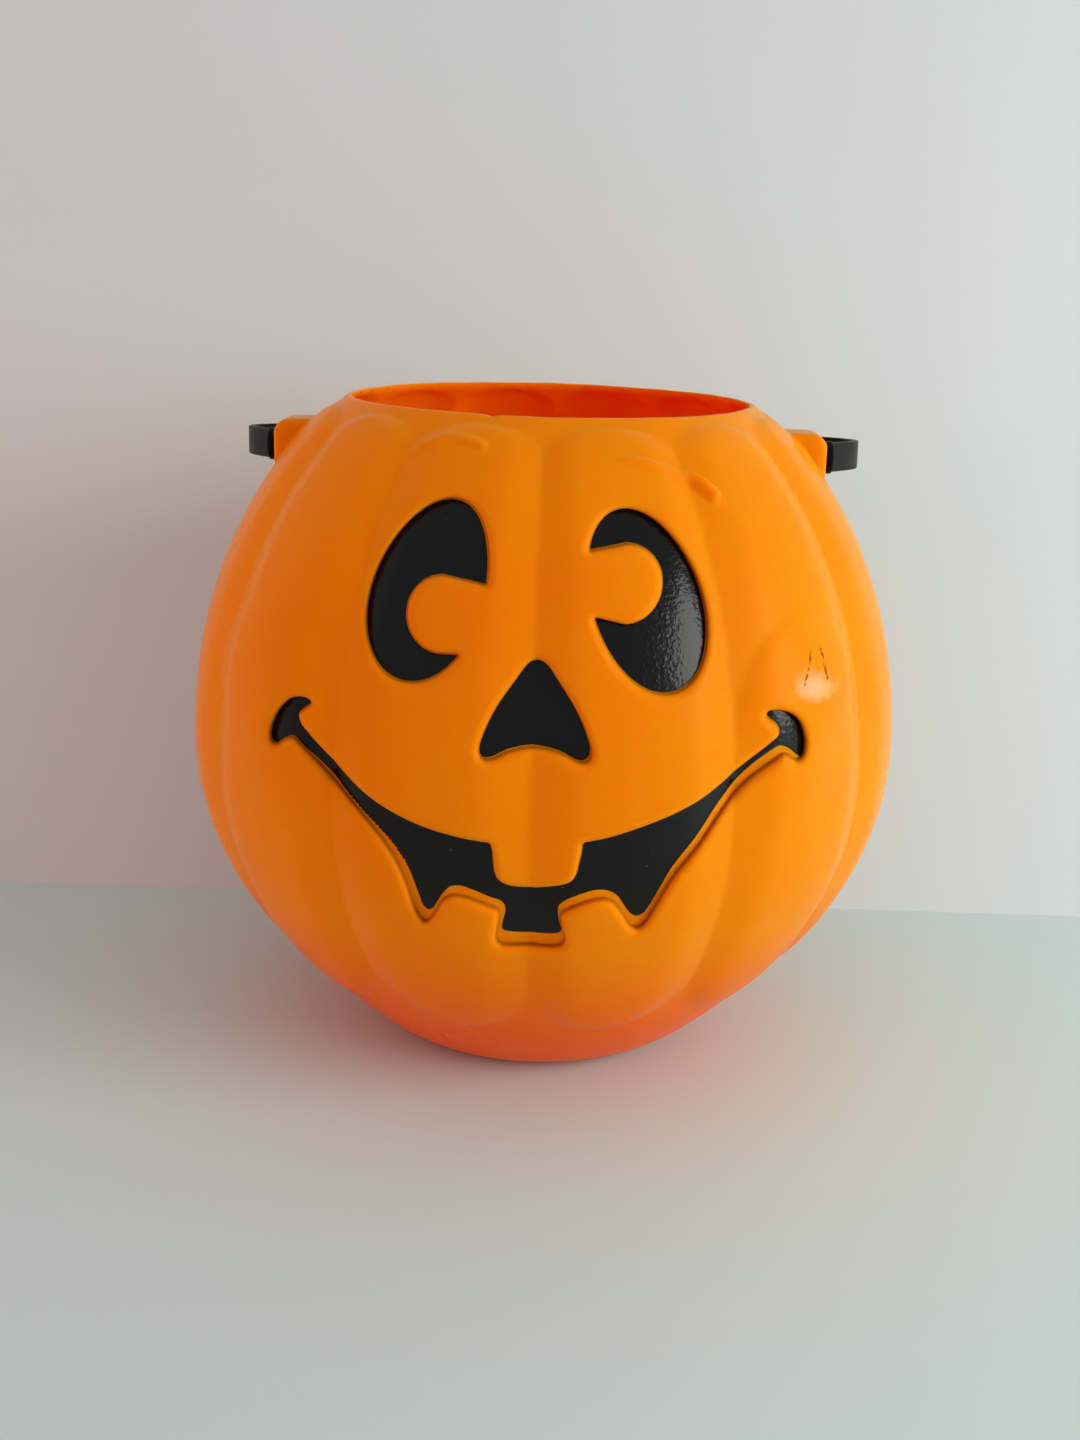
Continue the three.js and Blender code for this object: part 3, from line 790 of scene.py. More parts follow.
def lobe_columns(shares, lobes):
    """The angles of the columns of a lattice, from shares of half a lobe."""
    half = np.array(shares) / 2
    one = np.unique(np.concatenate([half, 1 - half[half > 0]]))
    angles = (np.arange(lobes)[:, None] + one[None]).ravel() * 2 * math.pi / lobes - math.pi
    return np.append(angles, math.pi)


def chain(count):
    """The edges that join a number of points into one open line."""
    return np.column_stack([np.arange(count - 1), np.arange(1, count)])


def spaced(start, end, step):
    """Stations from a start up to, and without, an end."""
    count = max(1, round((end - start) / step))
    return start + np.arange(count) * (end - start) / count


OUTER_SHARES = (0, 0.02, 0.05, 0.12, 0.24, 0.34, 0.42, 0.5, 0.6, 0.7, 0.8, 0.9, 1)
INNER_SHARES = (0, 0.05, 0.14, 0.28, 0.46, 0.66, 0.84, 1)
BASE_COLUMNS = 96


PATCH_LOW = 57.5 * MM
OUTER_PATCH = {"degrees": 58, "high": 198}
INNER_PATCH = {"degrees": 50, "high": 188}


class PatchLimits:
    """The part of the pattern that the face takes, which has finer points."""

    def __init__(self, section, inside):
        limits = INNER_PATCH if inside else OUTER_PATCH
        self.angle = math.radians(limits["degrees"])
        low = section.station_at_height(PATCH_LOW, inside)
        high = section.station_at_height(limits["high"] * MM, inside)
        self.low, self.high = min(low, high), max(low, high)

    def holds(self, angle, station):
        return (np.abs(angle) < self.angle) & (station > self.low) & (station < self.high)


class Lug:
    """One of the two hollow bosses that the handle turns in, seen from its side as y and height."""

    def __init__(self, body, handle, side):
        self.side = side
        self.handle = handle
        pivot = handle.pivot_height
        self.middle = np.array([0.0, pivot])
        self.reach = float(skin_radius(body, np.array(pivot))) + handle.lug_stand
        self.low = pivot - handle.lug_below
        self.high = pivot + handle.lug_above
        self.half = handle.lug_width / 2
        self.knee = pivot + handle.head_radius + handle.side_clearance

    def outline(self, inset):
        """The lug's outline, taken in all round, with round corners."""
        radius = max(self.handle.lug_rounding - inset, 0.3 * MM)
        half = self.half - inset - radius
        low, high = self.low + inset + radius, self.high - inset - radius
        corners = [(half, high, 0), (-half, high, 90), (-half, low, 180), (half, low, 270)]
        line = []
        for y, z, start in corners:
            for turn in np.radians(np.linspace(start, start + 90, 7)):
                line.append((y + radius * math.cos(turn), z + radius * math.sin(turn)))
        return Outline(counterclockwise(even_closed(np.array(line), OUTLINE_STEP)))

    def face_at(self, z, inset):
        """How far out the lug's face lies at a height."""
        lean = self.handle.lug_lean * np.clip((z - self.knee) / (self.high - self.knee), 0, 1)
        return self.reach - lean - inset


# Distances in millimetres from a lug's outline that need a line of points
LUG_LEVELS = (1.6, 0.8, 0.3, 0.05, 0, -0.03, -0.08, -0.14, -0.3, -0.55, -0.9, -1.4, -2.2)
LUG_ROOT = 1.6 * MM
LUG_DRAFT = 0.14 * MM
BORE_CLEAR = 0.5 * MM
BORE_STEPS = 28
# Only what lies farther out to the side than this can belong to a lug
SIDE_START = 40 * MM
SIDE_REACH = 8 * MM


def lug_share(handle, distance, body_x, face_x):
    """How far out a point of the lug lies at a distance from the outline, negative inside."""
    inward = -distance
    rounding = handle.lug_rounding
    edge = np.clip((inward - LUG_DRAFT) / rounding, 0, 1)
    rounded = rounding * (1 - np.sqrt(1 - (1 - edge) ** 2))
    climbed = np.clip(inward / LUG_DRAFT, 0, 1)
    full = face_x - rounded
    root = np.clip(1 - distance / LUG_ROOT, 0, 1) ** 2 * 0.7 * MM
    outside = body_x + np.where(face_x > body_x + 2 * MM, root, root * 0.4)
    return np.where(inward <= 0, outside, outside + (full - outside) * climbed)


def front_levels(pattern, section, outline, levels, step, inside):
    """Adds the lines of points round one pocket, which follow its outline."""
    chosen = spread_points(outline, step, math.radians(24))
    for distance in levels:
        line, edges = level_line(outline, chosen, distance)
        station = section.station_at_height(line[:, 1], inside)
        pattern.add(section.angle_of_front(line[:, 0], station), station, edges)


def side_levels(pattern, section, lug, levels, step, inside, inset):
    """Adds the lines of points round one lug."""
    outline = lug.outline(inset)
    chosen = spread_points(outline, step, math.radians(30))
    for distance in levels:
        line, edges = level_line(outline, chosen, distance * MM)
        clear = np.hypot(line[:, 0], line[:, 1] - lug.middle[1]) > lug.handle.bore_radius + BORE_CLEAR
        edges = (np.cumsum(clear) - 1)[edges[clear[edges].all(1)]]
        line = line[clear]
        station = section.station_at_height(line[:, 1], inside)
        pattern.add(section.angle_of_side(lug.side, line[:, 0], station), station, edges)


def bore_loop(pattern, section, lug, inside):
    """Adds the edge of a lug's bore and returns the numbers of its points."""
    turn = np.arange(BORE_STEPS) * 2 * math.pi / BORE_STEPS
    y = lug.handle.bore_radius * np.cos(turn)
    z = lug.middle[1] + lug.handle.bore_radius * np.sin(turn)
    station = section.station_at_height(z, inside)
    edges = np.column_stack([np.arange(BORE_STEPS), np.roll(np.arange(BORE_STEPS), -1)])
    first = pattern.add(section.angle_of_side(lug.side, y, station), station, edges)
    return first + np.arange(BORE_STEPS)


def front_view(section, angle, station):
    """Pattern points as x and height, for points on the front of the pail."""
    place = section.place(angle, station)
    return place[:, [0, 2]]


BROW_GRID_ACROSS = 0.65 * MM
BROW_GRID_UP = 0.55 * MM
BROW_POINTS_TOP = 198.6 * MM
BROW_POINTS_REACH = 2.9 * MM
BROW_CLEAR = 3.2 * MM


def brow_points(pattern, section):
    """Adds the close points that the ridges over the eyes need."""
    for brow in (LEFT_BROW, RIGHT_BROW):
        line = np.array(smooth_stretch(brow["line"], 0.8)) * MM
        low, high = line.min(0) - 3 * MM, line.max(0) + 3 * MM
        across = np.arange(low[0], high[0], BROW_GRID_ACROSS)
        up = np.arange(low[1], min(high[1], BROW_POINTS_TOP), BROW_GRID_UP)
        x, z = [a.ravel() for a in np.meshgrid(across, up)]
        spots = np.column_stack([x, z])
        spots = spots[brow_gap(brow, spots)[0] < BROW_POINTS_REACH]
        station = section.station_at_height(spots[:, 1], False)
        pattern.add(section.angle_of_front(spots[:, 0], station), station)


# Distances between rows of points in the pattern
CLOSE_ROWS = 0.9 * MM
WIDE_ROWS = 2.4 * MM
INNER_ROWS = 3 * MM


def shell_lattice(pattern, section, outlines, lugs):
    """The rows and columns of the pattern, finer on the face and left out where lines of points lie."""
    body = section.body
    foot = section.station_at_height(body.foot_height, False)
    stand = section.station[int(np.argmax(section.line[:, 0] >= body.foot_radius))]
    top = section.rim
    low_end = section.station_at_height(body.lobe_foot_gap - 1 * MM, False)
    low_full = section.station_at_height(body.lobe_foot_gap + 0.6 * body.lobe_foot_end, False)
    high_full = section.station_at_height(body.height - body.lobe_rim_gap - 1.2 * body.lobe_rim_end, False)
    outer_columns = lobe_columns(OUTER_SHARES, body.lobe_count)
    inner_columns = lobe_columns(INNER_SHARES, body.lobe_count)
    base_columns = np.linspace(-math.pi, math.pi, BASE_COLUMNS + 1)
    base_rows = np.concatenate([
        [0], spaced(8 * MM, 26 * MM, 6 * MM), spaced(26 * MM, 36 * MM, CLOSE_ROWS),
        spaced(36 * MM, stand, 3 * MM)])
    outer_rows = np.concatenate([
        spaced(stand, foot, 1.5 * MM), spaced(foot, low_end, WIDE_ROWS),
        spaced(low_end, low_full, CLOSE_ROWS), spaced(low_full, high_full, WIDE_ROWS),
        spaced(high_full, top - 0.4 * MM, 0.8 * MM), [top - 0.4 * MM]])
    lip_rows = section.station[(section.station > top - 1e-6) & (section.station <= section.lip_end + 1e-6)]
    inner_foot = section.station_at_height(body.foot_height + 2 * body.wall, True)
    last = section.length
    inner_rows = np.concatenate([
        spaced(section.lip_end + 0.5 * MM, section.lip_end + 9 * MM, 1.5 * MM),
        spaced(section.lip_end + 9 * MM, inner_foot, INNER_ROWS)])
    inner_base_rows = np.append(last - np.concatenate([
        [44 * MM, 40 * MM], np.arange(37, 26, -1.2) * MM, [20 * MM, 13 * MM, 6 * MM]]), last)
    outer_patch = PatchLimits(section, False)
    inner_patch = PatchLimits(section, True)

    def lattice(rows, columns, skipped=None):
        angle, station = [a.ravel() for a in np.meshgrid(columns, rows)]
        if skipped is not None:
            kept = ~skipped(angle, station)
            angle, station = angle[kept], station[kept]
        return angle, station

    def near_lug(inside, inset, reach):
        def test(angle, station):
            place = section.place(angle, station)
            found = np.zeros(len(angle), bool)
            for lug in lugs:
                outline = lug.outline(inset)
                on_side = place[:, 0] * lug.side > SIDE_START
                gap = outline.distance(place[:, 1:], SIDE_REACH)
                same_skin = station > section.lip_end if inside else station < section.rim
                found |= on_side & (gap < reach) & (gap > -2.6 * MM) & same_skin
                ring = np.hypot(place[:, 1], place[:, 2] - lug.middle[1])
                found |= on_side & (ring < lug.handle.bore_radius + 0.9 * MM)
            return found
        return test

    pattern.add(*lattice(base_rows, base_columns))
    outer_skip = near_lug(False, 0, 2 * MM)
    pattern.add(*lattice(outer_rows, outer_columns,
                         lambda a, s: outer_patch.holds(a, s) | outer_skip(a, s)))
    # The edges along these rows keep the triangles from cutting across the lip
    for row in lip_rows:
        pattern.add(outer_columns, np.full(len(outer_columns), row), chain(len(outer_columns)))
    inner_skip = near_lug(True, body.wall, 2 * MM)
    pattern.add(*lattice(inner_rows, inner_columns,
                         lambda a, s: inner_patch.holds(a, s) | inner_skip(a, s)))
    pattern.add(*lattice(inner_base_rows, base_columns))

    lobe = 2 * math.pi / body.lobe_count
    for patch, per_lobe, step, clear in ((outer_patch, 44, 1.28 * MM, (-1.0 * MM, 3.9 * MM)),
                                         (inner_patch, 26, 2.1 * MM, None)):
        columns = np.arange(-math.floor(patch.angle / lobe * per_lobe),
                            math.floor(patch.angle / lobe * per_lobe) + 1) * lobe / per_lobe
        rows = np.linspace(patch.low, patch.high, round((patch.high - patch.low) / step))[1:-1]
        angle, station = [a.ravel() for a in np.meshgrid(columns, rows)]
        if clear is not None:
            seen = front_view(section, angle, station)
            taken = np.zeros(len(seen), bool)
            for outline in outlines.values():
                gap = outline.distance(seen, 6 * MM)
                taken |= (gap > clear[0]) & (gap < clear[1])
            for brow in (LEFT_BROW, RIGHT_BROW):
                taken |= brow_gap(brow, seen)[0] < BROW_CLEAR
            angle, station = angle[~taken], station[~taken]
        pattern.add(angle, station)
        for crease in (-lobe, 0, lobe):
            line = rows[(rows < section.station_at_height(180 * MM, False)) | (rows > section.rim)][::2]
            pattern.add(np.full(len(line), crease), line, chain(len(line)))


# Ridges over the eyes: points of the ridge's line in the front view, its height and its half width
LEFT_BROW = {
    "line": [(-41.4, 189.5), (-36.6, 192), (-32.6, 194.5), (-29, 196), (-26, 196.8), (-21.9, 197),
             (-16, 195.6)],
    "height": 0.9, "half_width": 1.5, "tip_height": 0.9, "tip_half_width": 1.5, "bridge": 0}
RIGHT_BROW = {
    "line": [(17, 191.8), (23.4, 192.6), (28.1, 191.8), (33.1, 190.2), (36.7, 188.5), (40.6, 187.2),
             (43.6, 185.5), (46.4, 183.4)],
    "height": 1.2, "half_width": 1.5, "tip_height": 1.7, "tip_half_width": 2.1, "bridge": 0.7}

# Cheeks: the middle of each mound, how far it reaches to its sides, up and down, and its height
RIGHT_CHEEK = {"x": 72, "z": 127, "side": 17.5, "up": 25.5, "down": 40, "height": 2.1}
LEFT_CHEEK = {"x": -74, "z": 126, "side": 19, "up": 25.5, "down": 40, "height": 1.7}
CHEEK_EDGE_POWER = 0.6

PARTING_HEIGHT = 0.14 * MM
PARTING_HALF_WIDTH = 0.5 * MM
FRONT_HALF_ANGLE = math.radians(80)


def brow_gap(brow, seen):
    """How far points lie from a brow's line, and how far along it, from 0 to 1."""
    line = np.array(smooth_stretch(brow["line"], 0.7)) * MM
    gap = np.full(len(seen), np.inf)
    share = np.zeros(len(seen))
    low, high = line.min(0) - 4 * MM, line.max(0) + 4 * MM
    near = np.flatnonzero(np.all((seen > low) & (seen < high), axis=1))
    away = np.linalg.norm(seen[near][:, None, :] - line[None], axis=2)
    nearest = away.argmin(1)
    gap[near] = away[np.arange(len(near)), nearest]
    share[near] = nearest / (len(line) - 1)
    return gap, share


def brow_height(brow, seen, swell, rise):
    """Height of a brow ridge, which also fills the crease that it crosses."""
    gap, share = brow_gap(brow, seen)
    tip = smooth_step((share - 0.55) / 0.35)
    start = smooth_step(share / 0.3)
    half_width = (brow["half_width"] + tip * (brow["tip_half_width"] - brow["half_width"])) * MM
    height = start * (brow["height"] + tip * (brow["tip_height"] - brow["height"])) * MM
    ridge = np.clip(1 - (gap / half_width) ** 2, 0, 1) ** 1.2
    fill = np.maximum(brow["bridge"] - swell, 0) * rise * tip
    return ridge * (height + fill)


def cheek_height(cheek, seen):
    """Height of a cheek: a mound with a clear upper edge that fades out downwards."""
    x = (seen[:, 0] / MM - cheek["x"]) / cheek["side"]
    z = seen[:, 1] / MM - cheek["z"]
    z = np.where(z > 0, z / cheek["up"], z / cheek["down"])
    reach = x ** 2 + z ** 2
    upper = np.clip(1 - reach, 0, 1) ** CHEEK_EDGE_POWER
    lower = smooth_step(1 - np.sqrt(reach))
    share = smooth_step((z + 0.35) / 0.6)
    return cheek["height"] * MM * (share * upper + (1 - share) * lower)


def moulded_relief(section, angle, station, seen):
    """The small relief on the outer skin as offsets: the brows, the cheeks and the parting line."""
    body = section.body
    height = np.zeros(len(angle))
    z = section.at(station)[1]
    swell = section.lobe_swell(angle, z)
    front = np.abs(angle) < FRONT_HALF_ANGLE
    for brow in (LEFT_BROW, RIGHT_BROW):
        height += np.where(front, brow_height(brow, seen, swell, body.lobe_rise), 0)
    for cheek in (LEFT_CHEEK, RIGHT_CHEEK):
        height += np.where(front, cheek_height(cheek, seen), 0)
    from_parting = np.abs(np.abs(angle) - math.pi / 2) * section.at(station)[0]
    parting = PARTING_HEIGHT * np.clip(1 - from_parting / PARTING_HALF_WIDTH, 0, 1)
    height += np.where(z > body.foot_height, parting, 0)
    out_r, out_z = section.outward(station)
    return height[:, None] * np.column_stack([out_r * np.sin(angle), -out_r * np.cos(angle), out_z])


# The waves of the trimmed rim as waves in a turn, where they start and their size in millimetres
RIM_WAVES = ((3, 0.6, 0.07), (7, 2.1, 0.06), (19, 0.4, 0.03), (31, 1.2, 0.02))
RIM_NICK = {"angle": -13.5, "half_angle": 0.022, "depth": 0.5}

# Where the slope of the rim starts and how far it takes, as shares of the pail's height
RIM_SLOPE_START = 0.85
RIM_SLOPE_SHARE = 0.15
RIM_TRIM_REACH = 3 * MM
FACE_REACH = 9 * MM
# Skin that faces the front less than this takes depth as if it faced it this much
LEAST_FACING = 0.3


def shell_moulding(section, face, outlines, lugs, angle, station):
    """What the face pockets, the lugs and the trimming add to the lobed skin, as offsets, and how much paint
    dust and painted shade lie on each point, as a dark line along the foot of each pocket's wall."""
    body = section.body
    place = section.place(angle, station)
    offset = np.zeros_like(place)
    out_r, _ = section.outward(station)
    inside = station > section.lip_end
    lip = (station >= section.rim - 1e-6) & ~inside
    front = (place[:, 1] < 0) & ~lip
    seen = place[:, [0, 2]]
    gap = np.full(len(place), FACE_REACH)
    for outline in outlines.values():
        gap[front] = np.minimum(gap[front], outline.distance(seen[front], FACE_REACH))
    depth = np.where(inside, back_depth_at(face, gap), pocket_depth_at(face, gap))
    depth[~front] = 0
    towards = np.maximum(np.abs(out_r) * np.cos(angle), LEAST_FACING)
    offset[:, 1] += depth / towards
    relief = moulded_relief(section, angle, station, seen)
    relief[inside | lip] = 0
    offset += relief
    for lug in lugs:
        for within, inset in ((False, 0), (True, body.wall)):
            chosen = np.flatnonzero((place[:, 0] * lug.side > SIDE_START) & ~lip & (inside == within))
            distance = lug.outline(inset).distance(place[chosen][:, 1:], SIDE_REACH)
            body_x = np.abs(place[chosen, 0])
            face_x = np.maximum(lug.face_at(place[chosen, 2], inset), body_x)
            target = lug_share(lug.handle, distance, body_x, face_x)
            target = np.where(distance < LUG_ROOT, target, body_x)
            offset[chosen, 0] += (target - body_x) * lug.side
    near_rim = smooth_step(
        (place[:, 2] - RIM_SLOPE_START * body.height) / (RIM_SLOPE_SHARE * body.height))
    offset[:, 2] -= near_rim * body.rim_drop * 0.5 * (1 + np.sin(angle))
    at_rim = smooth_step((place[:, 2] - body.height + RIM_TRIM_REACH) / RIM_TRIM_REACH)
    offset[:, 2] -= at_rim * rim_trim(angle)
    # Paint dust and painted shade: a dark line along the foot of each pocket's wall, where the recess is in
    # shade
    dust_and_shade = np.exp(-((gap - face.wall_start) / face.overspray) ** 2)
    dust_and_shade[inside | ~front] = 0
    return offset, dust_and_shade


def rim_trim(angle):
    """How far the knife that trimmed the rim ran below its full height."""
    wave = sum(size * (1 + np.sin(turns * angle + start)) for turns, start, size in RIM_WAVES)
    from_nick = (angle - math.radians(RIM_NICK["angle"])) / RIM_NICK["half_angle"]
    nick = RIM_NICK["depth"] * np.exp(-from_nick ** 2)
    return (wave + nick) * MM


def mesh_from(name, points, triangles):
    """A smooth mesh of triangles."""
    mesh = bpy.data.meshes.new(name)
    mesh.vertices.add(len(points))
    mesh.vertices.foreach_set("co", np.asarray(points, np.float32).ravel())
    mesh.loops.add(3 * len(triangles))
    mesh.loops.foreach_set("vertex_index", np.asarray(triangles, np.int32).ravel())
    mesh.polygons.add(len(triangles))
    mesh.polygons.foreach_set("loop_start", np.arange(0, 3 * len(triangles), 3, dtype=np.int32))
    mesh.polygons.foreach_set("use_smooth", np.ones(len(triangles), bool))
    mesh.update(calc_edges=True)
    mesh.validate()
    return mesh


def placed(name, mesh):
    """A new object at the origin with this mesh."""
    piece = bpy.data.objects.new(name, mesh)
    bpy.context.scene.collection.objects.link(piece)
    return piece


# Node helpers

class Nodes:
    """A short way to add nodes to a tree and to join them."""

    def __init__(self, tree):
        self.tree = tree

    def add(self, kind, inputs=None, **options):
        node = self.tree.nodes.new(kind)
        for name, value in options.items():
            setattr(node, name, value)
        for key, value in (inputs or {}).items():
            socket = node.inputs[key]
            if isinstance(value, bpy.types.NodeSocket):
                self.tree.links.new(value, socket)
            else:
                socket.default_value = value
        return node

    def math(self, operation, *values, clamp=False):
        inputs = dict(enumerate(values))
        return self.add("ShaderNodeMath", inputs, operation=operation, use_clamp=clamp).outputs[0]

    def times(self, first, second):
        return self.math("MULTIPLY", first, second)

    def minus(self, first, second):
        return self.math("SUBTRACT", first, second)

    def vector(self, operation, *values):
        node = self.add("ShaderNodeVectorMath", dict(enumerate(values)), operation=operation)
        return node.outputs["Value" if operation in ("LENGTH", "DOT_PRODUCT") else "Vector"]

    def noise(self, place, scale, detail):
        inputs = {"Vector": place, "Scale": scale, "Detail": detail}
        return self.add("ShaderNodeTexNoise", inputs).outputs["Fac"]

    def ramp(self, value, start, end, low=0.0, high=1.0, **options):
        """A value between two limits, drawn out to low at the start and high at the end."""
        inputs = {"Value": value, "From Min": start, "From Max": end, "To Min": low, "To Max": high}
        return self.add("ShaderNodeMapRange", inputs, **options).outputs[0]

    def bump(self, shader, height, strength, distance):
        """Small relief on a shader's surface."""
        inputs = {"Height": height, "Strength": strength, "Distance": distance}
        self.tree.links.new(self.add("ShaderNodeBump", inputs).outputs[0], shader.inputs["Normal"])

    def blend(self, factor, first, second):
        """A colour between two colours."""
        inputs = {"Factor": factor, "A": first, "B": second}
        return self.add("ShaderNodeMix", inputs, data_type="RGBA").outputs["Result"]


def new_tree(name, sockets):
    """A Geometry Nodes tree with named inputs, and the identifiers of its inputs by name."""
    tree = bpy.data.node_groups.new(name, "GeometryNodeTree")
    tree.interface.new_socket("Geometry", in_out="OUTPUT", socket_type="NodeSocketGeometry")
    tree.interface.new_socket("Geometry", in_out="INPUT", socket_type="NodeSocketGeometry")
    identifiers = {}
    for label, kind in sockets:
        identifiers[label] = tree.interface.new_socket(label, in_out="INPUT", socket_type=kind).identifier
    return tree, identifiers


def run_tree(name, tree, identifiers, values, mesh):
    """Runs a tree on a mesh and returns the result as a plain mesh object."""
    source = placed(name + "_pattern", mesh)
    modifier = source.modifiers.new("Nodes", "NODES")
    modifier.node_group = tree
    for label, value in values.items():
        modifier[identifiers[label]] = value
    evaluated = source.evaluated_get(bpy.context.evaluated_depsgraph_get())
    made = bpy.data.meshes.new_from_object(evaluated)
    made.name = name
    source.modifiers.clear()
    bpy.data.objects.remove(source)
    return placed(name, made)


WRAP_NUMBERS = ("Pattern Radius", "Lobes", "Lobe Rise", "Foot End", "Rim End", "Lobe Foot", "Lobe Top",
                "Flank Slope", "Crest Sag", "Softness", "Merge Distance")


def wrap_tree():
    """The tree that wraps a flat pattern round the pail: a section, turned, with lobes on it."""
    numbers = [(label, "NodeSocketFloat") for label in WRAP_NUMBERS]
    tree, identifiers = new_tree("wrap_pail", [
        ("Section", "NodeSocketObject"), *numbers, ("Material", "NodeSocketMaterial")])
    nodes = Nodes(tree)
    given = nodes.add("NodeGroupInput").outputs
    flat = nodes.add("ShaderNodeSeparateXYZ", {0: nodes.add("GeometryNodeInputPosition").outputs[0]}).outputs
    section = nodes.add("GeometryNodeObjectInfo", {"Object": given["Section"]}).outputs["Geometry"]
    sample = nodes.add("GeometryNodeSampleCurve", {"Curves": section, "Length": flat["Y"]}, mode="LENGTH")
    spot = nodes.add("ShaderNodeSeparateXYZ", {0: sample.outputs["Position"]}).outputs
    angle = nodes.math("DIVIDE", flat["X"], given["Pattern Radius"])
    from_foot = nodes.math("DIVIDE", nodes.minus(spot["Z"], given["Lobe Foot"]), given["Foot End"])
    from_rim = nodes.math("DIVIDE", nodes.minus(given["Lobe Top"], spot["Z"]), given["Rim End"])
    from_end = nodes.math("MINIMUM", from_foot, from_rim, clamp=True)
    closed = nodes.minus(1.0, from_end)
    opened = nodes.math("SQRT", nodes.minus(1.0, nodes.times(closed, closed)))
    turns = nodes.math("DIVIDE", nodes.times(angle, given["Lobes"]), math.tau)
    saw = nodes.math("MULTIPLY_ADD", nodes.math("FRACT", turns), 2.0, -1.0)
    across = nodes.math("ABSOLUTE", saw)
    share = nodes.math("MINIMUM", nodes.math("DIVIDE", across, nodes.math("MAXIMUM", opened, 1e-6)), 1.0)
    flank = nodes.times(nodes.minus(1.0, share), given["Flank Slope"])
    crest = nodes.minus(1.0, nodes.times(given["Crest Sag"], nodes.times(share, share)))
    height = nodes.math("SMOOTH_MIN", flank, crest, FLANK_BLEND)
    soft_square = nodes.times(given["Softness"], given["Softness"])
    raised = nodes.math("SQRT", nodes.math("MULTIPLY_ADD", height, height, soft_square))
    eased = nodes.minus(raised, given["Softness"])
    whole = nodes.minus(nodes.math("SQRT", nodes.math("ADD", 1.0, soft_square)), given["Softness"])
    swell = nodes.times(nodes.math("DIVIDE", eased, whole), nodes.math("SQRT", opened))
    radius = nodes.math("MULTIPLY_ADD", swell, given["Lobe Rise"], spot["X"])
    x = nodes.times(radius, nodes.math("SINE", angle))
    y = nodes.times(radius, nodes.times(nodes.math("COSINE", angle), -1.0))
    wrapped = nodes.add("ShaderNodeCombineXYZ", {"X": x, "Y": y, "Z": spot["Z"]}).outputs[0]
    moulded = nodes.add("GeometryNodeInputNamedAttribute", {"Name": "moulding"}, data_type="FLOAT_VECTOR")
    position = nodes.vector("ADD", wrapped, moulded.outputs["Attribute"])
    bent = nodes.add("GeometryNodeSetPosition", {"Geometry": given["Geometry"], "Position": position})
    joined = nodes.add("GeometryNodeMergeByDistance",
                       {"Geometry": bent.outputs[0], "Distance": given["Merge Distance"]})
    smooth = nodes.add("GeometryNodeSetShadeSmooth", {"Geometry": joined.outputs[0], "Shade Smooth": True})
    real = nodes.add("GeometryNodeRealizeInstances", {"Geometry": smooth.outputs[0]})
    dressed = nodes.add("GeometryNodeSetMaterial",
                        {"Geometry": real.outputs[0], "Material": given["Material"]})
    nodes.add("NodeGroupOutput", {"Geometry": dressed.outputs[0]})
    return tree, identifiers


def line_curve(name, points, cyclic=False):
    """A curve object of straight steps through points."""
    curve = bpy.data.curves.new(name, "CURVE")
    curve.dimensions = "3D"
    spline = curve.splines.new("POLY")
    spline.points.add(len(points) - 1)
    spline.points.foreach_set("co", np.column_stack([points, np.ones(len(points))]).ravel())
    spline.use_cyclic_u = cyclic
    return placed(name, curve)


def wrapped_piece(name, section, pattern_points, triangles, offset, merge_distance, material, dust_and_shade=None):
    """Wraps flat pattern points round the pail, with their moulding."""
    body = section.body
    mesh = mesh_from(name, np.column_stack([pattern_points, np.zeros(len(pattern_points))]), triangles)
    # The paint dust and painted shade along the pocket walls, for the material
    if dust_and_shade is not None:
        dust = mesh.attributes.new("overspray", "FLOAT", "POINT")
        dust.data.foreach_set("value", dust_and_shade.astype(np.float32))
    attribute = mesh.attributes.new("moulding", "FLOAT_VECTOR", "POINT")
    attribute.data.foreach_set("vector", offset.astype(np.float32).ravel())
    line = section.line
    guide = line_curve(name + "_section", np.column_stack([line[:, 0], np.zeros(len(line)), line[:, 1]]))
    tree, identifiers = wrap_tree()
    piece = run_tree(name, tree, identifiers, {
        "Section": guide, "Pattern Radius": Pattern.RADIUS, "Lobes": float(body.lobe_count),
        "Lobe Rise": body.lobe_rise, "Foot End": body.lobe_foot_end, "Rim End": body.lobe_rim_end,
        "Lobe Foot": body.lobe_foot_gap, "Lobe Top": body.height - body.lobe_rim_gap,
        "Flank Slope": body.flank_slope, "Crest Sag": body.crest_sag, "Softness": body.crease_softness,
        "Merge Distance": merge_distance, "Material": material}, mesh)
    bpy.data.objects.remove(guide)
    bpy.data.node_groups.remove(tree)
    left = piece.data.attributes.get("moulding")
    if left is not None:
        piece.data.attributes.remove(left)
    return piece


# Joins the seam behind the pail and the two poles of the base
SHELL_MERGE = 5e-6
# Distances from a pocket's outline that need a line of points on the inner skin
BACK_LEVELS = (4.4 * MM, 3.6 * MM, 2.7 * MM, 1.8 * MM, 1.1 * MM)


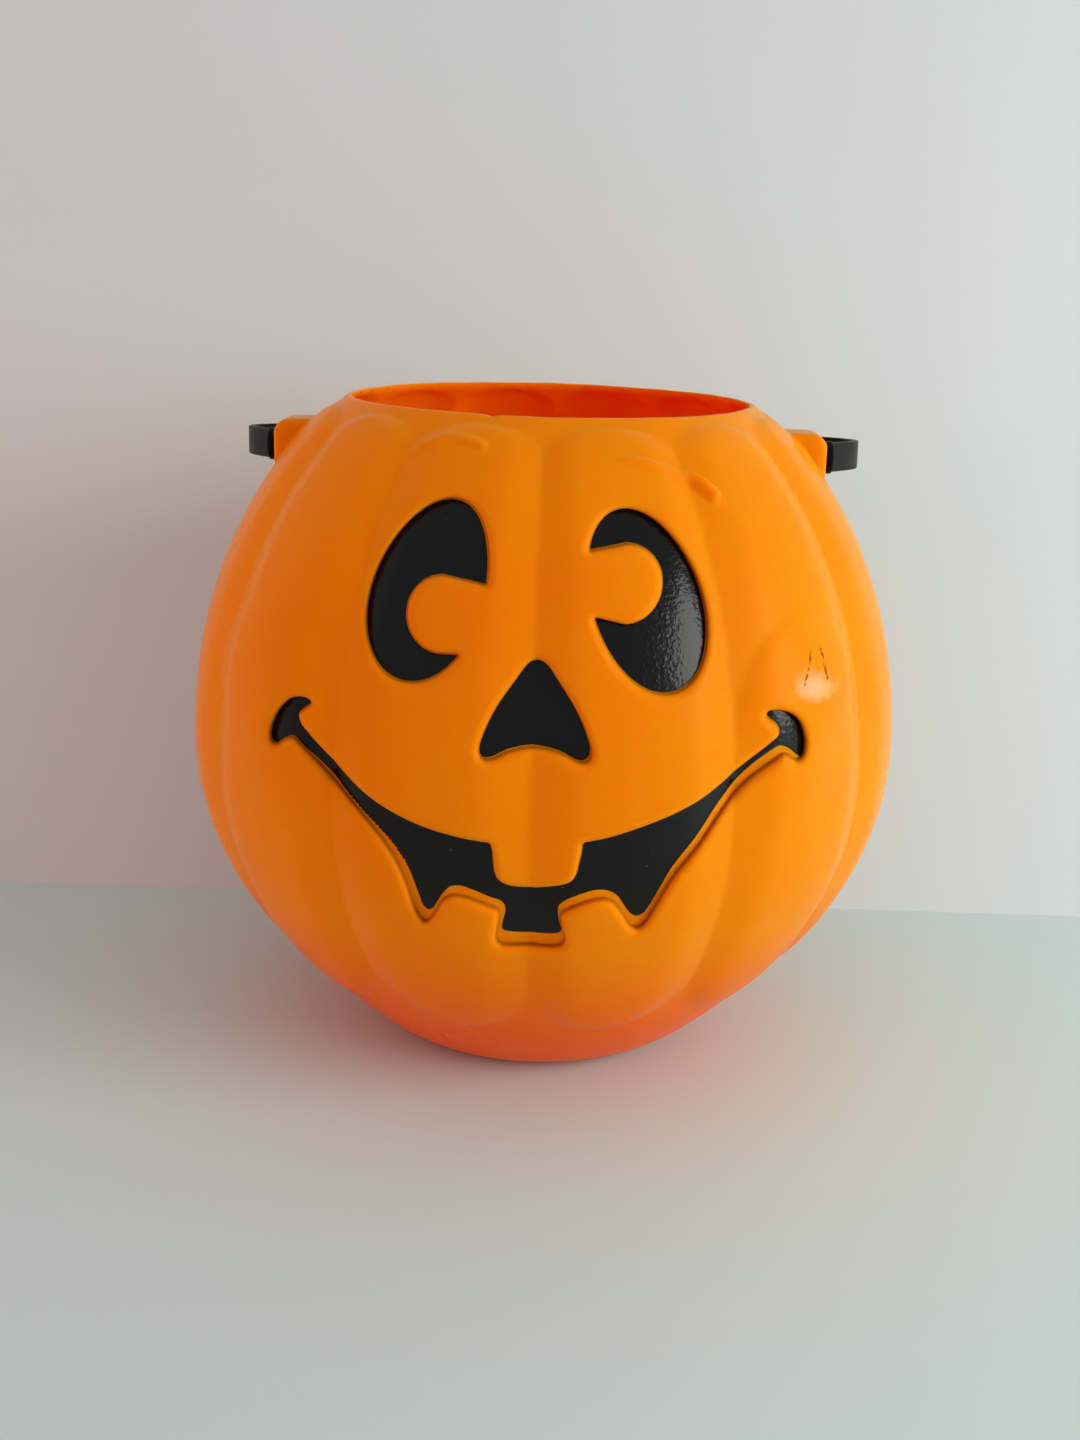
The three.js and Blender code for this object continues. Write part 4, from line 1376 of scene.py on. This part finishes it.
def build_shell(body, face, handle, material):
    """The pail's skin, outside and inside, as one closed mesh."""
    section = Section(body)
    outlines = face_outlines()
    lugs = [Lug(body, handle, side) for side in (-1, 1)]
    pattern = Pattern()
    shell_lattice(pattern, section, outlines, lugs)
    brow_points(pattern, section)
    for outline in outlines.values():
        front_levels(pattern, section, outline, pocket_levels(face), 0.85 * MM, False)
        front_levels(pattern, section, outline, BACK_LEVELS, 2 * MM, True)
    bores = []
    for lug in lugs:
        side_levels(pattern, section, lug, LUG_LEVELS, 1.1 * MM, False, 0)
        side_levels(pattern, section, lug, LUG_LEVELS, 1.6 * MM, True, body.wall)
        bores.append((bore_loop(pattern, section, lug, False), bore_loop(pattern, section, lug, True)))
    points, triangles, number = pattern.triangulate()
    angle, station = points[:, 0] / Pattern.RADIUS, points[:, 1]
    offset, dust_and_shade = shell_moulding(section, face, outlines, lugs, angle, station)
    centre = points[triangles].mean(1)
    seen = section.place(centre[:, 0] / Pattern.RADIUS, centre[:, 1])
    ring = np.hypot(seen[:, 1], seen[:, 2] - handle.pivot_height)
    holed = (np.abs(seen[:, 0]) > SIDE_START) & (ring < handle.bore_radius)
    triangles = triangles[~holed]
    walls = []
    for outer, inner in bores:
        a, b = number[outer], number[inner]
        a_next, b_next = np.roll(a, -1), np.roll(b, -1)
        # The outer loop runs the other way round on the left lug, so its walls are turned too
        place = section.place(angle[a], station[a])
        flip = place[:, 0].mean() < 0
        first = np.column_stack([a, a_next, b_next])
        second = np.column_stack([a, b_next, b])
        walls.append(first[:, ::-1] if flip else first)
        walls.append(second[:, ::-1] if flip else second)
    triangles = np.vstack([triangles, *walls])
    return wrapped_piece("pumpkin_shell", section, points, triangles, offset, SHELL_MERGE, material, dust_and_shade)


# Finishes

def set_inputs(node, values):
    """Sets inputs of a node by their names."""
    for name, value in values.items():
        node.inputs[name].default_value = value


def new_material(name):
    """A new material, its nodes and its shader."""
    material = bpy.data.materials.new(name)
    material.use_nodes = True
    nodes = Nodes(material.node_tree)
    shader = next(n for n in material.node_tree.nodes if n.type == "BSDF_PRINCIPLED")
    return material, nodes, shader


# Wear and a painted highlight on the right cheek as places in the front view in millimetres: two short
# scuffs of two stretches each, and a glossy patch with a painted highlight, with its half width, half height
# and lean
SCUFFS = (((74.2, 142.9), (73.9, 138.8), (72.5, 134.6)), ((77.2, 143.3), (78.3, 140), (79.6, 134.6)))
SCUFF_HALF_WIDTH = 0.55 * MM
SCUFF_CORE = 0.1 * MM
CHEEK_HIGHLIGHT = {"x": 75.5, "z": 133.6, "half_width": 8.2 * MM, "half_height": 4.2 * MM, "lean": 20}


def distance_to_stretch(nodes, seen, start, end):
    """The distance of a shaded point from a straight stretch in the front view."""
    start, end = Vector((*start, 0)) * MM, Vector((*end, 0)) * MM
    along = end - start
    offset = nodes.vector("SUBTRACT", seen, start)
    reached = nodes.vector("DOT_PRODUCT", offset, along)
    share = nodes.math("DIVIDE", reached, along.length_squared, clamp=True)
    nearest = nodes.add("ShaderNodeVectorMath", {0: along, "Scale": share}, operation="SCALE").outputs[0]
    return nodes.vector("LENGTH", nodes.vector("SUBTRACT", offset, nearest))


def cheek_wear_and_highlight(nodes, place):
    """Masks from 0 to 1 for the scuffs and for the glossy patch with a painted highlight on the right cheek.
    """
    parts = nodes.add("ShaderNodeSeparateXYZ", {0: place}).outputs
    seen = nodes.add("ShaderNodeCombineXYZ", {"X": parts["X"], "Y": parts["Z"]}).outputs[0]
    gaps = [distance_to_stretch(nodes, seen, *ends) for line in SCUFFS for ends in zip(line, line[1:])]
    gap = gaps[0]
    for other in gaps[1:]:
        gap = nodes.math("MINIMUM", gap, other)
    front = nodes.math("LESS_THAN", parts["Y"], 0.0)
    near = nodes.ramp(gap, SCUFF_HALF_WIDTH, SCUFF_CORE)
    dotted = nodes.ramp(nodes.noise(place, 1100.0, 2.0), 0.46, 0.56)
    scuff = nodes.times(nodes.times(near, dotted), front)
    # The glossy patch on the right cheek, which is painted paler as a highlight
    lean = math.radians(CHEEK_HIGHLIGHT["lean"])
    offset = nodes.vector("SUBTRACT", seen, Vector((CHEEK_HIGHLIGHT["x"], CHEEK_HIGHLIGHT["z"], 0)) * MM)
    sideways = Vector((math.cos(lean), -math.sin(lean), 0)) / CHEEK_HIGHLIGHT["half_width"]
    upwards = Vector((math.sin(lean), math.cos(lean), 0)) / CHEEK_HIGHLIGHT["half_height"]
    across = nodes.vector("DOT_PRODUCT", offset, sideways)
    up = nodes.vector("DOT_PRODUCT", offset, upwards)
    reach = nodes.math("SQRT", nodes.math("MULTIPLY_ADD", across, across, nodes.times(up, up)))
    uneven = nodes.math("MULTIPLY_ADD", nodes.noise(place, 240.0, 4.0), 0.9, nodes.minus(reach, 0.45))
    highlit = nodes.ramp(uneven, 1.05, 0.25)
    return scuff, nodes.times(highlit, front)


# Heights between which the colour is painted deeper towards the foot as painted shade, and how strongly each
# layer shows
FOOT_SHADE_START = 0.085
FOOT_SHADE_FULL = 0.012
HAZE_SHARE = 0.4
DUST_AND_SHADE_SHARE = 0.5
HIGHLIGHT_SHARE = 0.6
SCUFF_SHARE = 0.85


def orange_plastic(finish):
    """Orange plastic that lets light in, with painted shade deeper towards the foot and along the pocket
    walls, paint dust, scuffs and a glossy patch with a painted highlight.
    """
    material, nodes, shader = new_material("orange_polyethylene")
    place = nodes.add("ShaderNodeTexCoord").outputs["Object"]
    haze = nodes.noise(place, 26.0, 4.0)
    grain = nodes.noise(place, 1500.0, 2.0)
    height = nodes.add("ShaderNodeSeparateXYZ", {0: place}).outputs["Z"]
    # Painted shade: the colour runs deeper and redder towards the foot, where the underside is in shade
    foot_shade = nodes.ramp(height, FOOT_SHADE_START, FOOT_SHADE_FULL, interpolation_type="SMOOTHSTEP")
    tone_and_shade = nodes.math("MAXIMUM", nodes.times(haze, HAZE_SHARE), foot_shade)
    colour = nodes.blend(tone_and_shade, (*finish.orange, 1), (*finish.deep_orange, 1))
    # Paint dust and painted shade: the colour is darkened along the foot of each pocket's wall
    dust = nodes.add("ShaderNodeAttribute", attribute_name="overspray").outputs["Fac"]
    colour = nodes.blend(nodes.times(dust, DUST_AND_SHADE_SHARE), colour, (*finish.dust, 1))
    scuff, highlit = cheek_wear_and_highlight(nodes, place)
    # Painted highlight: the glossy patch is painted paler; its lower roughness is real gloss
    colour = nodes.blend(nodes.times(highlit, HIGHLIGHT_SHARE), colour, (*finish.highlight_orange, 1))
    colour = nodes.blend(nodes.times(scuff, SCUFF_SHARE), colour, (*finish.dust, 1))
    nodes.tree.links.new(colour, shader.inputs["Base Color"])
    rough = nodes.ramp(haze, 0.0, 1.0, 0.24, 0.34)
    nodes.tree.links.new(nodes.math("MULTIPLY_ADD", highlit, -0.12, rough), shader.inputs["Roughness"])
    nodes.bump(shader, grain, 0.05, 0.0001)
    set_inputs(shader, {
        "Base Color": (*finish.orange, 1), "Subsurface Weight": 1.0, "Subsurface Scale": 0.004,
        "Subsurface Radius": (1.0, 0.15, 0.02), "IOR": 1.5, "Specular IOR Level": 0.05,
        "Specular Tint": (1.0, 0.65, 0.25, 1)})
    return material


# The colour of the grains of dust on the black paint
GRAIN_COLOUR = (0.12, 0.1, 0.09, 1)


def black_enamel(finish):
    """Sprayed gloss black paint with an orange peel and a few grains of dust."""
    material, nodes, shader = new_material("black_enamel")
    place = nodes.add("ShaderNodeTexCoord").outputs["Object"]
    peel = nodes.noise(place, 900.0, 1.0)
    grains = nodes.ramp(nodes.noise(place, 420.0, 3.0), 0.74, 0.8)
    colour = nodes.blend(grains, (*finish.paint_black, 1), GRAIN_COLOUR)
    nodes.tree.links.new(colour, shader.inputs["Base Color"])
    nodes.bump(shader, peel, 0.5, 0.0002)
    set_inputs(shader, {"Roughness": 0.17, "Specular IOR Level": 0.22})
    return material


def black_polyethylene(finish):
    """The strap's black plastic with a fine grain."""
    material, nodes, shader = new_material("black_polyethylene")
    place = nodes.add("ShaderNodeTexCoord").outputs["Object"]
    grain = nodes.noise(place, 700.0, 3.0)
    nodes.tree.links.new(nodes.ramp(grain, 0.0, 1.0, 0.3, 0.42), shader.inputs["Roughness"])
    set_inputs(shader, {"Base Color": (*finish.strap_black, 1), "Specular IOR Level": 0.05})
    nodes.bump(shader, grain, 0.15, 0.0001)
    return material


def dress(piece, body_name, node_name):
    """Tells the frame which body a piece moves with, and hides the node that it stands for."""
    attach(piece, body_name)
    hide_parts(node_name)


class PAIL_OT_shell(bpy.types.Operator):
    """Builds the moulded pail"""

    bl_idname = "pail.shell"
    bl_label = "Moulded pail"

    def execute(self, context):
        scene = context.scene
        material = orange_plastic(scene.pail_finish)
        piece = build_shell(scene.pail_body, scene.pail_face, scene.pail_handle, material)
        dress(piece, "pail", "shell")
        return {"FINISHED"}


# The paint in the pockets

RAGGED_STEP = 0.42
RAGGED_SEED = 7


def paint_limits(name, outlines):
    """The outline of a spray mask's opening."""
    if name != "mouth":
        return Outline(outlines[name].line + np.array(PAINT_SLIPS[name]) * MM)
    generator = np.random.default_rng(RAGGED_SEED)
    line = []
    for run, stretch in enumerate(MOUTH_PAINT_LIMIT):
        points = np.array(smooth_stretch(stretch, STRETCH_STEP))[:-1]
        if run == MOUTH_PAINT_RAGGED_RUN:
            points = np.array(smooth_stretch(stretch, RAGGED_STEP))[:-1]
            along = points[-1] - points[0]
            across = np.array([-along[1], along[0]]) / np.linalg.norm(along)
            teeth = np.where(np.arange(len(points)) % 3 == 0, -0.3, 0.12)
            teeth = teeth * generator.uniform(0.4, 1.3, len(points))
            points = points + teeth[:, None] * across
        line.append(points)
    return Outline(counterclockwise(even_closed(np.vstack(line) * MM, OUTLINE_STEP)))


# How far a film stands off its pocket's floor, and its thickness at its edge
FILM_SEAT = 0.02 * MM
FILM_LEAST = 0.01 * MM
FILM_MERGE = 2e-7
# How far inside the pocket's outline a film's outermost points lie, in millimetres
FILM_INSET = 0.03
FILM_GRID = 1.7 * MM
FILM_REACH = 6 * MM


def open_edges(triangles):
    """The edges that only one triangle has, each in the direction that it runs there."""
    edges = np.vstack([triangles[:, [0, 1]], triangles[:, [1, 2]], triangles[:, [2, 0]]])
    size = int(edges.max()) + 1
    codes = edges[:, 0] * size + edges[:, 1]
    return edges[~np.isin(codes, edges[:, 1] * size + edges[:, 0])]


def build_film(name, body, face, material):
    """A thin coat of paint on the floor of a pocket, with a rounded edge."""
    section = Section(body)
    outlines = face_outlines()
    pocket = outlines[name]
    limit = paint_limits(name, outlines)
    pattern = Pattern()
    edge = face.film_edge
    for line, levels in ((pocket, (-FILM_INSET, -0.12, -0.24, -0.36, -0.7)), (limit, (0, -0.12, -0.3))):
        chosen = spread_points(line, 0.6 * MM, math.radians(26))
        for level in levels:
            moved, edges = level_line(line, chosen, level * MM)
            station = section.station_at_height(moved[:, 1], False)
            pattern.add(section.angle_of_front(moved[:, 0], station), station, edges)
    low, high = pocket.line.min(0), pocket.line.max(0)
    x, z = [a.ravel() for a in np.meshgrid(np.arange(low[0], high[0], FILM_GRID),
                                           np.arange(low[1], high[1], FILM_GRID))]
    spots = np.column_stack([x, z])
    deep = (pocket.distance(spots, FILM_REACH) < -1.1 * MM) & (limit.distance(spots, FILM_REACH) < -0.7 * MM)
    spots = spots[deep]
    station = section.station_at_height(spots[:, 1], False)
    pattern.add(section.angle_of_front(spots[:, 0], station), station)
    points, triangles, _ = pattern.triangulate()
    angle, station = points[:, 0] / Pattern.RADIUS, points[:, 1]
    seen = front_view(section, angle, station)
    centre = seen[triangles].mean(1)
    kept = pocket.distance(centre, FILM_REACH) < -FILM_INSET * MM
    kept &= limit.distance(centre, FILM_REACH) < 0
    triangles = triangles[kept]
    used, triangles = np.unique(triangles, return_inverse=True)
    triangles = triangles.reshape(-1, 3)
    points, seen, angle, station = points[used], seen[used], angle[used], station[used]
    gap = pocket.distance(seen, FILM_REACH)
    from_edge = np.minimum(-gap - FILM_INSET * MM, -limit.distance(seen, FILM_REACH))
    inward = np.clip(from_edge, 0, edge) / edge
    out_r, _ = section.outward(station)
    towards = np.maximum(out_r * np.cos(angle), LEAST_FACING)
    under = moulded_relief(section, angle, station, seen)
    under[:, 1] += (pocket_depth_at(face, gap) - FILM_SEAT) / towards
    over = under.copy()
    over[:, 1] -= (FILM_LEAST + face.film_thickness * np.sqrt(1 - (1 - inward) ** 2)) / towards
    rim = open_edges(triangles)
    below = len(points)
    wall_one = np.column_stack([rim[:, 1], rim[:, 0], rim[:, 0] + below])
    wall_two = np.column_stack([rim[:, 1], rim[:, 0] + below, rim[:, 1] + below])
    faces = np.vstack([triangles, triangles[:, ::-1] + below, wall_one, wall_two])
    return wrapped_piece("paint_" + name + "_film", section, np.vstack([points, points]), faces,
                         np.vstack([over, under]), FILM_MERGE, material)


class PAIL_OT_paint(bpy.types.Operator):
    """Sprays the paint into the four face pockets"""

    bl_idname = "pail.paint"
    bl_label = "Face paint"

    def execute(self, context):
        scene = context.scene
        material = black_enamel(scene.pail_finish)
        for name in ("left_eye", "right_eye", "nose", "mouth"):
            piece = build_film(name, scene.pail_body, scene.pail_face, material)
            dress(piece, "pail", "paint_" + name)
        return {"FINISHED"}


# The strap handle

BEND_STEPS = 30
ARCH_STEPS = 70
# The wall of a lug, which the neck passes, and the edges of the snap head
LUG_WALL = 1.8 * MM
HEAD_CHAMFER = 1.4 * MM
HEAD_ROUNDING = 0.3 * MM
DISH_DEPTH = 0.25 * MM
SHARP_ANGLE = math.radians(35)


def strap_line(body, handle):
    """The middle line of the whole strap, level and with the pivot along X, from right to left, and
    how far out the lugs reach."""
    lug_reach = float(skin_radius(body, np.array(handle.pivot_height))) + handle.lug_stand
    end = np.array([lug_reach + handle.side_clearance + handle.strap_thickness / 2, 0])
    waist = np.array([end[0] + handle.strap_flare, handle.strap_waist])
    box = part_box("handle")
    tilt = handle.strap_width / 2 * math.sin(handle.rest_droop)
    reach = (box[1].y - tilt) / math.cos(handle.rest_droop) - handle.strap_thickness / 2
    knots = [end, end + [0.4 * handle.strap_flare, 0.3 * handle.strap_waist],
             np.array([waist[0], 0.6 * handle.strap_waist]), waist]
    share = np.linspace(0, 1, BEND_STEPS)[:, None]
    bend = ((1 - share) ** 3 * knots[0] + 3 * share * (1 - share) ** 2 * knots[1]
            + 3 * share ** 2 * (1 - share) * knots[2] + share ** 3 * knots[3])
    turn = np.linspace(0, math.pi / 2, ARCH_STEPS)[1:]
    arch = np.column_stack([waist[0] * np.cos(turn), waist[1] + (reach - waist[1]) * np.sin(turn)])
    right = np.vstack([bend, arch])
    left = right[:-1][::-1] * [-1, 1]
    return np.vstack([right, left]), lug_reach


def arc(centre, radius, start, end, count):
    """Points on an arc between two angles in degrees."""
    turn = np.radians(np.linspace(start, end, count))
    return [(centre[0] + radius * math.cos(t), centre[1] + radius * math.sin(t)) for t in turn]


def snap_end(handle, lug_reach, side, material):
    """The round end of the strap with its neck and snap head, turned about the pivot, along X."""
    inner = lug_reach + handle.side_clearance
    outer = inner + handle.strap_thickness
    edge = handle.strap_rounding
    head = lug_reach - LUG_WALL - handle.side_clearance
    nose = head - handle.head_length
    profile = [(nose, 0), (nose, handle.head_radius - HEAD_CHAMFER - HEAD_ROUNDING),
               (nose + 0.2 * MM, handle.head_radius - HEAD_CHAMFER),
               (nose + HEAD_CHAMFER, handle.head_radius)]
    profile += arc((head - HEAD_ROUNDING, handle.head_radius - HEAD_ROUNDING), HEAD_ROUNDING, 90, 0, 4)
    profile += [(head, handle.neck_radius), (inner, handle.neck_radius)]
    profile += arc((inner + edge, handle.end_radius - edge), edge, 180, 90, 5)
    profile += arc((outer - edge, handle.end_radius - edge), edge, 90, 0, 5)
    profile += [(outer, 1.6 * MM), (outer - DISH_DEPTH, 1.2 * MM), (outer - DISH_DEPTH, 0)]
    steps = 48
    mesh = bmesh.new()
    rings = []
    for x, radius in profile:
        if radius == 0:
            rings.append([mesh.verts.new((x * side, 0, 0))] * steps)
            continue
        turns = [2 * math.pi * i / steps for i in range(steps)]
        rings.append([mesh.verts.new((x * side, radius * math.cos(t), radius * math.sin(t))) for t in turns])
    for first, second in zip(rings, rings[1:]):
        for i in range(steps):
            corners = [first[i], first[(i + 1) % steps], second[(i + 1) % steps], second[i]]
            mesh.faces.new(list(dict.fromkeys(corners)))
    bmesh.ops.recalc_face_normals(mesh, faces=mesh.faces)
    data = bpy.data.meshes.new("snap_end")
    mesh.to_mesh(data)
    mesh.free()
    data.materials.append(material)
    return placed("snap_end", data)


def smooth_by_angle(mesh, limit):
    """Smooth shading with sharp edges where faces meet at more than a limit."""
    mesh.shade_smooth()
    work = bmesh.new()
    work.from_mesh(mesh)
    for edge in work.edges:
        edge.smooth = len(edge.link_faces) == 2 and edge.calc_face_angle(0) < limit
    work.to_mesh(mesh)
    work.free()


def build_handle(body, handle, material):
    """The strap swept along its line, with its two snap ends joined on and laid back at rest."""
    line, lug_reach = strap_line(body, handle)
    guide = line_curve("strap_line", np.column_stack([line, np.zeros(len(line))]))
    tree, identifiers = new_tree("sweep_strap", [
        ("Line", "NodeSocketObject"), ("Width", "NodeSocketFloat"), ("Thickness", "NodeSocketFloat"),
        ("Rounding", "NodeSocketFloat"), ("Material", "NodeSocketMaterial")])
    nodes = Nodes(tree)
    given = nodes.add("NodeGroupInput").outputs
    path = nodes.add("GeometryNodeObjectInfo", {"Object": given["Line"]}).outputs["Geometry"]
    upright = nodes.add("GeometryNodeSetCurveNormal", {"Curve": path}, mode="Z_UP")
    section = nodes.add("GeometryNodeCurvePrimitiveQuadrilateral",
                        {"Width": given["Thickness"], "Height": given["Width"]})
    rounded = nodes.add("GeometryNodeFilletCurve", {"Curve": section.outputs[0], "Radius": given["Rounding"],
                                                    "Count": 4}, mode="POLY")
    swept = nodes.add("GeometryNodeCurveToMesh", {
        "Curve": upright.outputs[0], "Profile Curve": rounded.outputs[0], "Fill Caps": True})
    real = nodes.add("GeometryNodeRealizeInstances", {"Geometry": swept.outputs[0]})
    dressed = nodes.add("GeometryNodeSetMaterial",
                        {"Geometry": real.outputs[0], "Material": given["Material"]})
    nodes.add("NodeGroupOutput", {"Geometry": dressed.outputs[0]})
    piece = run_tree("strap_handle", tree, identifiers, {
        "Line": guide, "Width": handle.strap_width, "Thickness": handle.strap_thickness,
        "Rounding": handle.strap_rounding, "Material": material}, bpy.data.meshes.new("strap"))
    bpy.data.objects.remove(guide)
    bpy.data.node_groups.remove(tree)
    for side in (-1, 1):
        end = snap_end(handle, lug_reach, side, material)
        joined = piece.modifiers.new("end", "BOOLEAN")
        joined.operation = "UNION"
        joined.solver = "EXACT"
        joined.object = end
        mesh = bpy.data.meshes.new_from_object(piece.evaluated_get(bpy.context.evaluated_depsgraph_get()))
        piece.modifiers.clear()
        piece.data = mesh
        bpy.data.objects.remove(end)
    laid_back = Matrix.Rotation(-handle.rest_droop, 4, "X")
    piece.data.transform(Matrix.Translation((0, 0, handle.pivot_height)) @ laid_back)
    smooth_by_angle(piece.data, SHARP_ANGLE)
    return piece


class PAIL_OT_handle(bpy.types.Operator):
    """Builds the strap handle with its snap ends"""

    bl_idname = "pail.handle"
    bl_label = "Strap handle"

    def execute(self, context):
        scene = context.scene
        piece = build_handle(scene.pail_body, scene.pail_handle, black_polyethylene(scene.pail_finish))
        dress(piece, "handle", "handle")
        return {"FINISHED"}


# The stage

# Shift of the picture to one side, 3.5 pixels at its height of 1440
PHOTO_SHIFT = -3.5 / 1440


def plane(name, corners):
    """A flat board through four corners."""
    mesh = bpy.data.meshes.new(name)
    mesh.from_pydata(corners, [], [(0, 1, 2, 3)])
    return placed(name, mesh)


def area_light(name, place, target, size, power, colour):
    """A round soft lamp that points at a target."""
    light = bpy.data.lights.new(name, "AREA")
    light.shape = "DISK"
    light.size = size
    light.energy = power
    light.color = colour
    lamp = bpy.data.objects.new(name, light)
    lamp.location = place
    lamp.rotation_euler = (Vector(target) - Vector(place)).to_track_quat("-Z", "Y").to_euler()
    bpy.context.scene.collection.objects.link(lamp)
    return lamp


class PAIL_OT_stage(bpy.types.Operator):
    """Sets up the floor, the lights and the camera"""

    bl_idname = "pail.stage"
    bl_label = "Stage"

    def execute(self, context):
        stage = context.scene.pail_stage
        reach = 6
        floor = plane("floor", [
            (-reach, -reach, 0), (reach, -reach, 0), (reach, reach, 0), (-reach, reach, 0)])
        material, _, shader = new_material("pale_floor")
        set_inputs(shader, {"Base Color": (*stage.floor_colour, 1), "Roughness": 0.6})
        floor.data.materials.append(material)
        self.add_backdrop(stage)
        self.add_room(context, stage)
        area_light("key", (1.0, -0.5, 0.42), (0, 0, 0.1), 0.75, stage.key_power, (1, 0.99, 0.97))
        glow = area_light("glow", (-0.9, -0.45, 0.2), (0, 0, 0.1), 0.6, stage.glow_power, (1, 0.12, 0.08))
        glow.visible_glossy = False
        self.add_soak(context, stage)
        self.add_camera(context, stage)
        context.scene.view_settings.view_transform = "Standard"
        return {"FINISHED"}

    def add_soak(self, context, stage):
        """A weak red light inside the pail for the light that soaks through its thin walls."""
        light = bpy.data.lights.new("soak", "POINT")
        light.energy = stage.soak_power
        light.color = (1, 0.05, 0)
        light.shadow_soft_size = 0.04
        lamp = bpy.data.objects.new("soak", light)
        lamp.location = (0, 0, 0.1)
        lamp.visible_camera = False
        lamp.visible_glossy = False
        context.scene.collection.objects.link(lamp)

    def add_backdrop(self, stage):
        """A pale board that leans back behind the pail. It can't be seen from behind."""
        low, high, lean, half = 0.088, 0.62, 0.29, 0.62
        wall = plane("backdrop", [(-half, low, 0), (half, low, 0), (half, low + lean * high, high),
                                  (-half, low + lean * high, high)])
        material, nodes, shader = new_material("pale_backdrop")
        set_inputs(shader, {
            "Base Color": (*stage.wall_colour, 1), "Roughness": 0.8, "Specular IOR Level": 0.1})
        behind = nodes.add("ShaderNodeNewGeometry").outputs["Backfacing"]
        clear = nodes.add("ShaderNodeBsdfTransparent").outputs[0]
        shown = nodes.add("ShaderNodeMixShader", {0: behind, 1: shader.outputs[0], 2: clear})
        output = next(n for n in material.node_tree.nodes if n.type == "OUTPUT_MATERIAL")
        nodes.tree.links.new(shown.outputs[0], output.inputs["Surface"])
        wall.data.materials.append(material)

    def add_room(self, context, stage):
        """An even light all round from a pale room."""
        world = bpy.data.worlds.new("pale_room")
        world.use_nodes = True
        background = world.node_tree.nodes["Background"]
        set_inputs(background, {"Color": (*stage.wall_colour, 1), "Strength": stage.sky_strength})
        context.scene.world = world

    def add_camera(self, context, stage):
        """The camera at the photograph's place."""
        data = bpy.data.cameras.new("camera")
        data.sensor_width = 36
        data.lens = stage.camera_lens
        data.shift_x = PHOTO_SHIFT
        camera = bpy.data.objects.new("camera", data)
        turn, pitch = stage.camera_turn, stage.camera_pitch
        camera.location = (stage.camera_distance * math.sin(turn), -stage.camera_distance * math.cos(turn),
                           stage.camera_height)
        look = Matrix.Rotation(turn, 4, "Z") @ Matrix.Rotation(math.pi / 2 - pitch, 4, "X")
        camera.rotation_euler = (look @ Matrix.Rotation(stage.camera_roll, 4, "Z")).to_euler()
        context.scene.collection.objects.link(camera)
        context.scene.camera = camera


class PAIL_PT_panel(bpy.types.Panel):
    """Lists the steps that build the pail"""

    bl_idname = "PAIL_PT_panel"
    bl_label = "Pumpkin Pail"
    bl_space_type = "VIEW_3D"
    bl_region_type = "UI"
    bl_category = "Pumpkin Pail"

    def draw(self, context):
        for step in STEPS:
            self.layout.operator(step.bl_idname)
        for name, group in SETTINGS.items():
            box = self.layout.box()
            for label in group.__annotations__:
                box.prop(getattr(context.scene, name), label)


SETTINGS = {
    "pail_body": PailBodySettings,
    "pail_face": PailFaceSettings,
    "pail_handle": PailHandleSettings,
    "pail_finish": PailFinishSettings,
    "pail_stage": PailStageSettings,
}
STEPS = (PAIL_OT_stage, PAIL_OT_shell, PAIL_OT_paint, PAIL_OT_handle)


def register():
    for group in SETTINGS.values():
        bpy.utils.register_class(group)
    for step in (*STEPS, PAIL_PT_panel):
        bpy.utils.register_class(step)
    for name, group in SETTINGS.items():
        setattr(bpy.types.Scene, name, bpy.props.PointerProperty(type=group))


def unregister():
    for name in SETTINGS:
        delattr(bpy.types.Scene, name)
    for step in (PAIL_PT_panel, *reversed(STEPS)):
        bpy.utils.unregister_class(step)
    for group in reversed(list(SETTINGS.values())):
        bpy.utils.unregister_class(group)


def main():
    register()
    bpy.ops.pail.stage()
    bpy.ops.pail.shell()
    bpy.ops.pail.paint()
    bpy.ops.pail.handle()


if __name__ == "__main__":
    main()
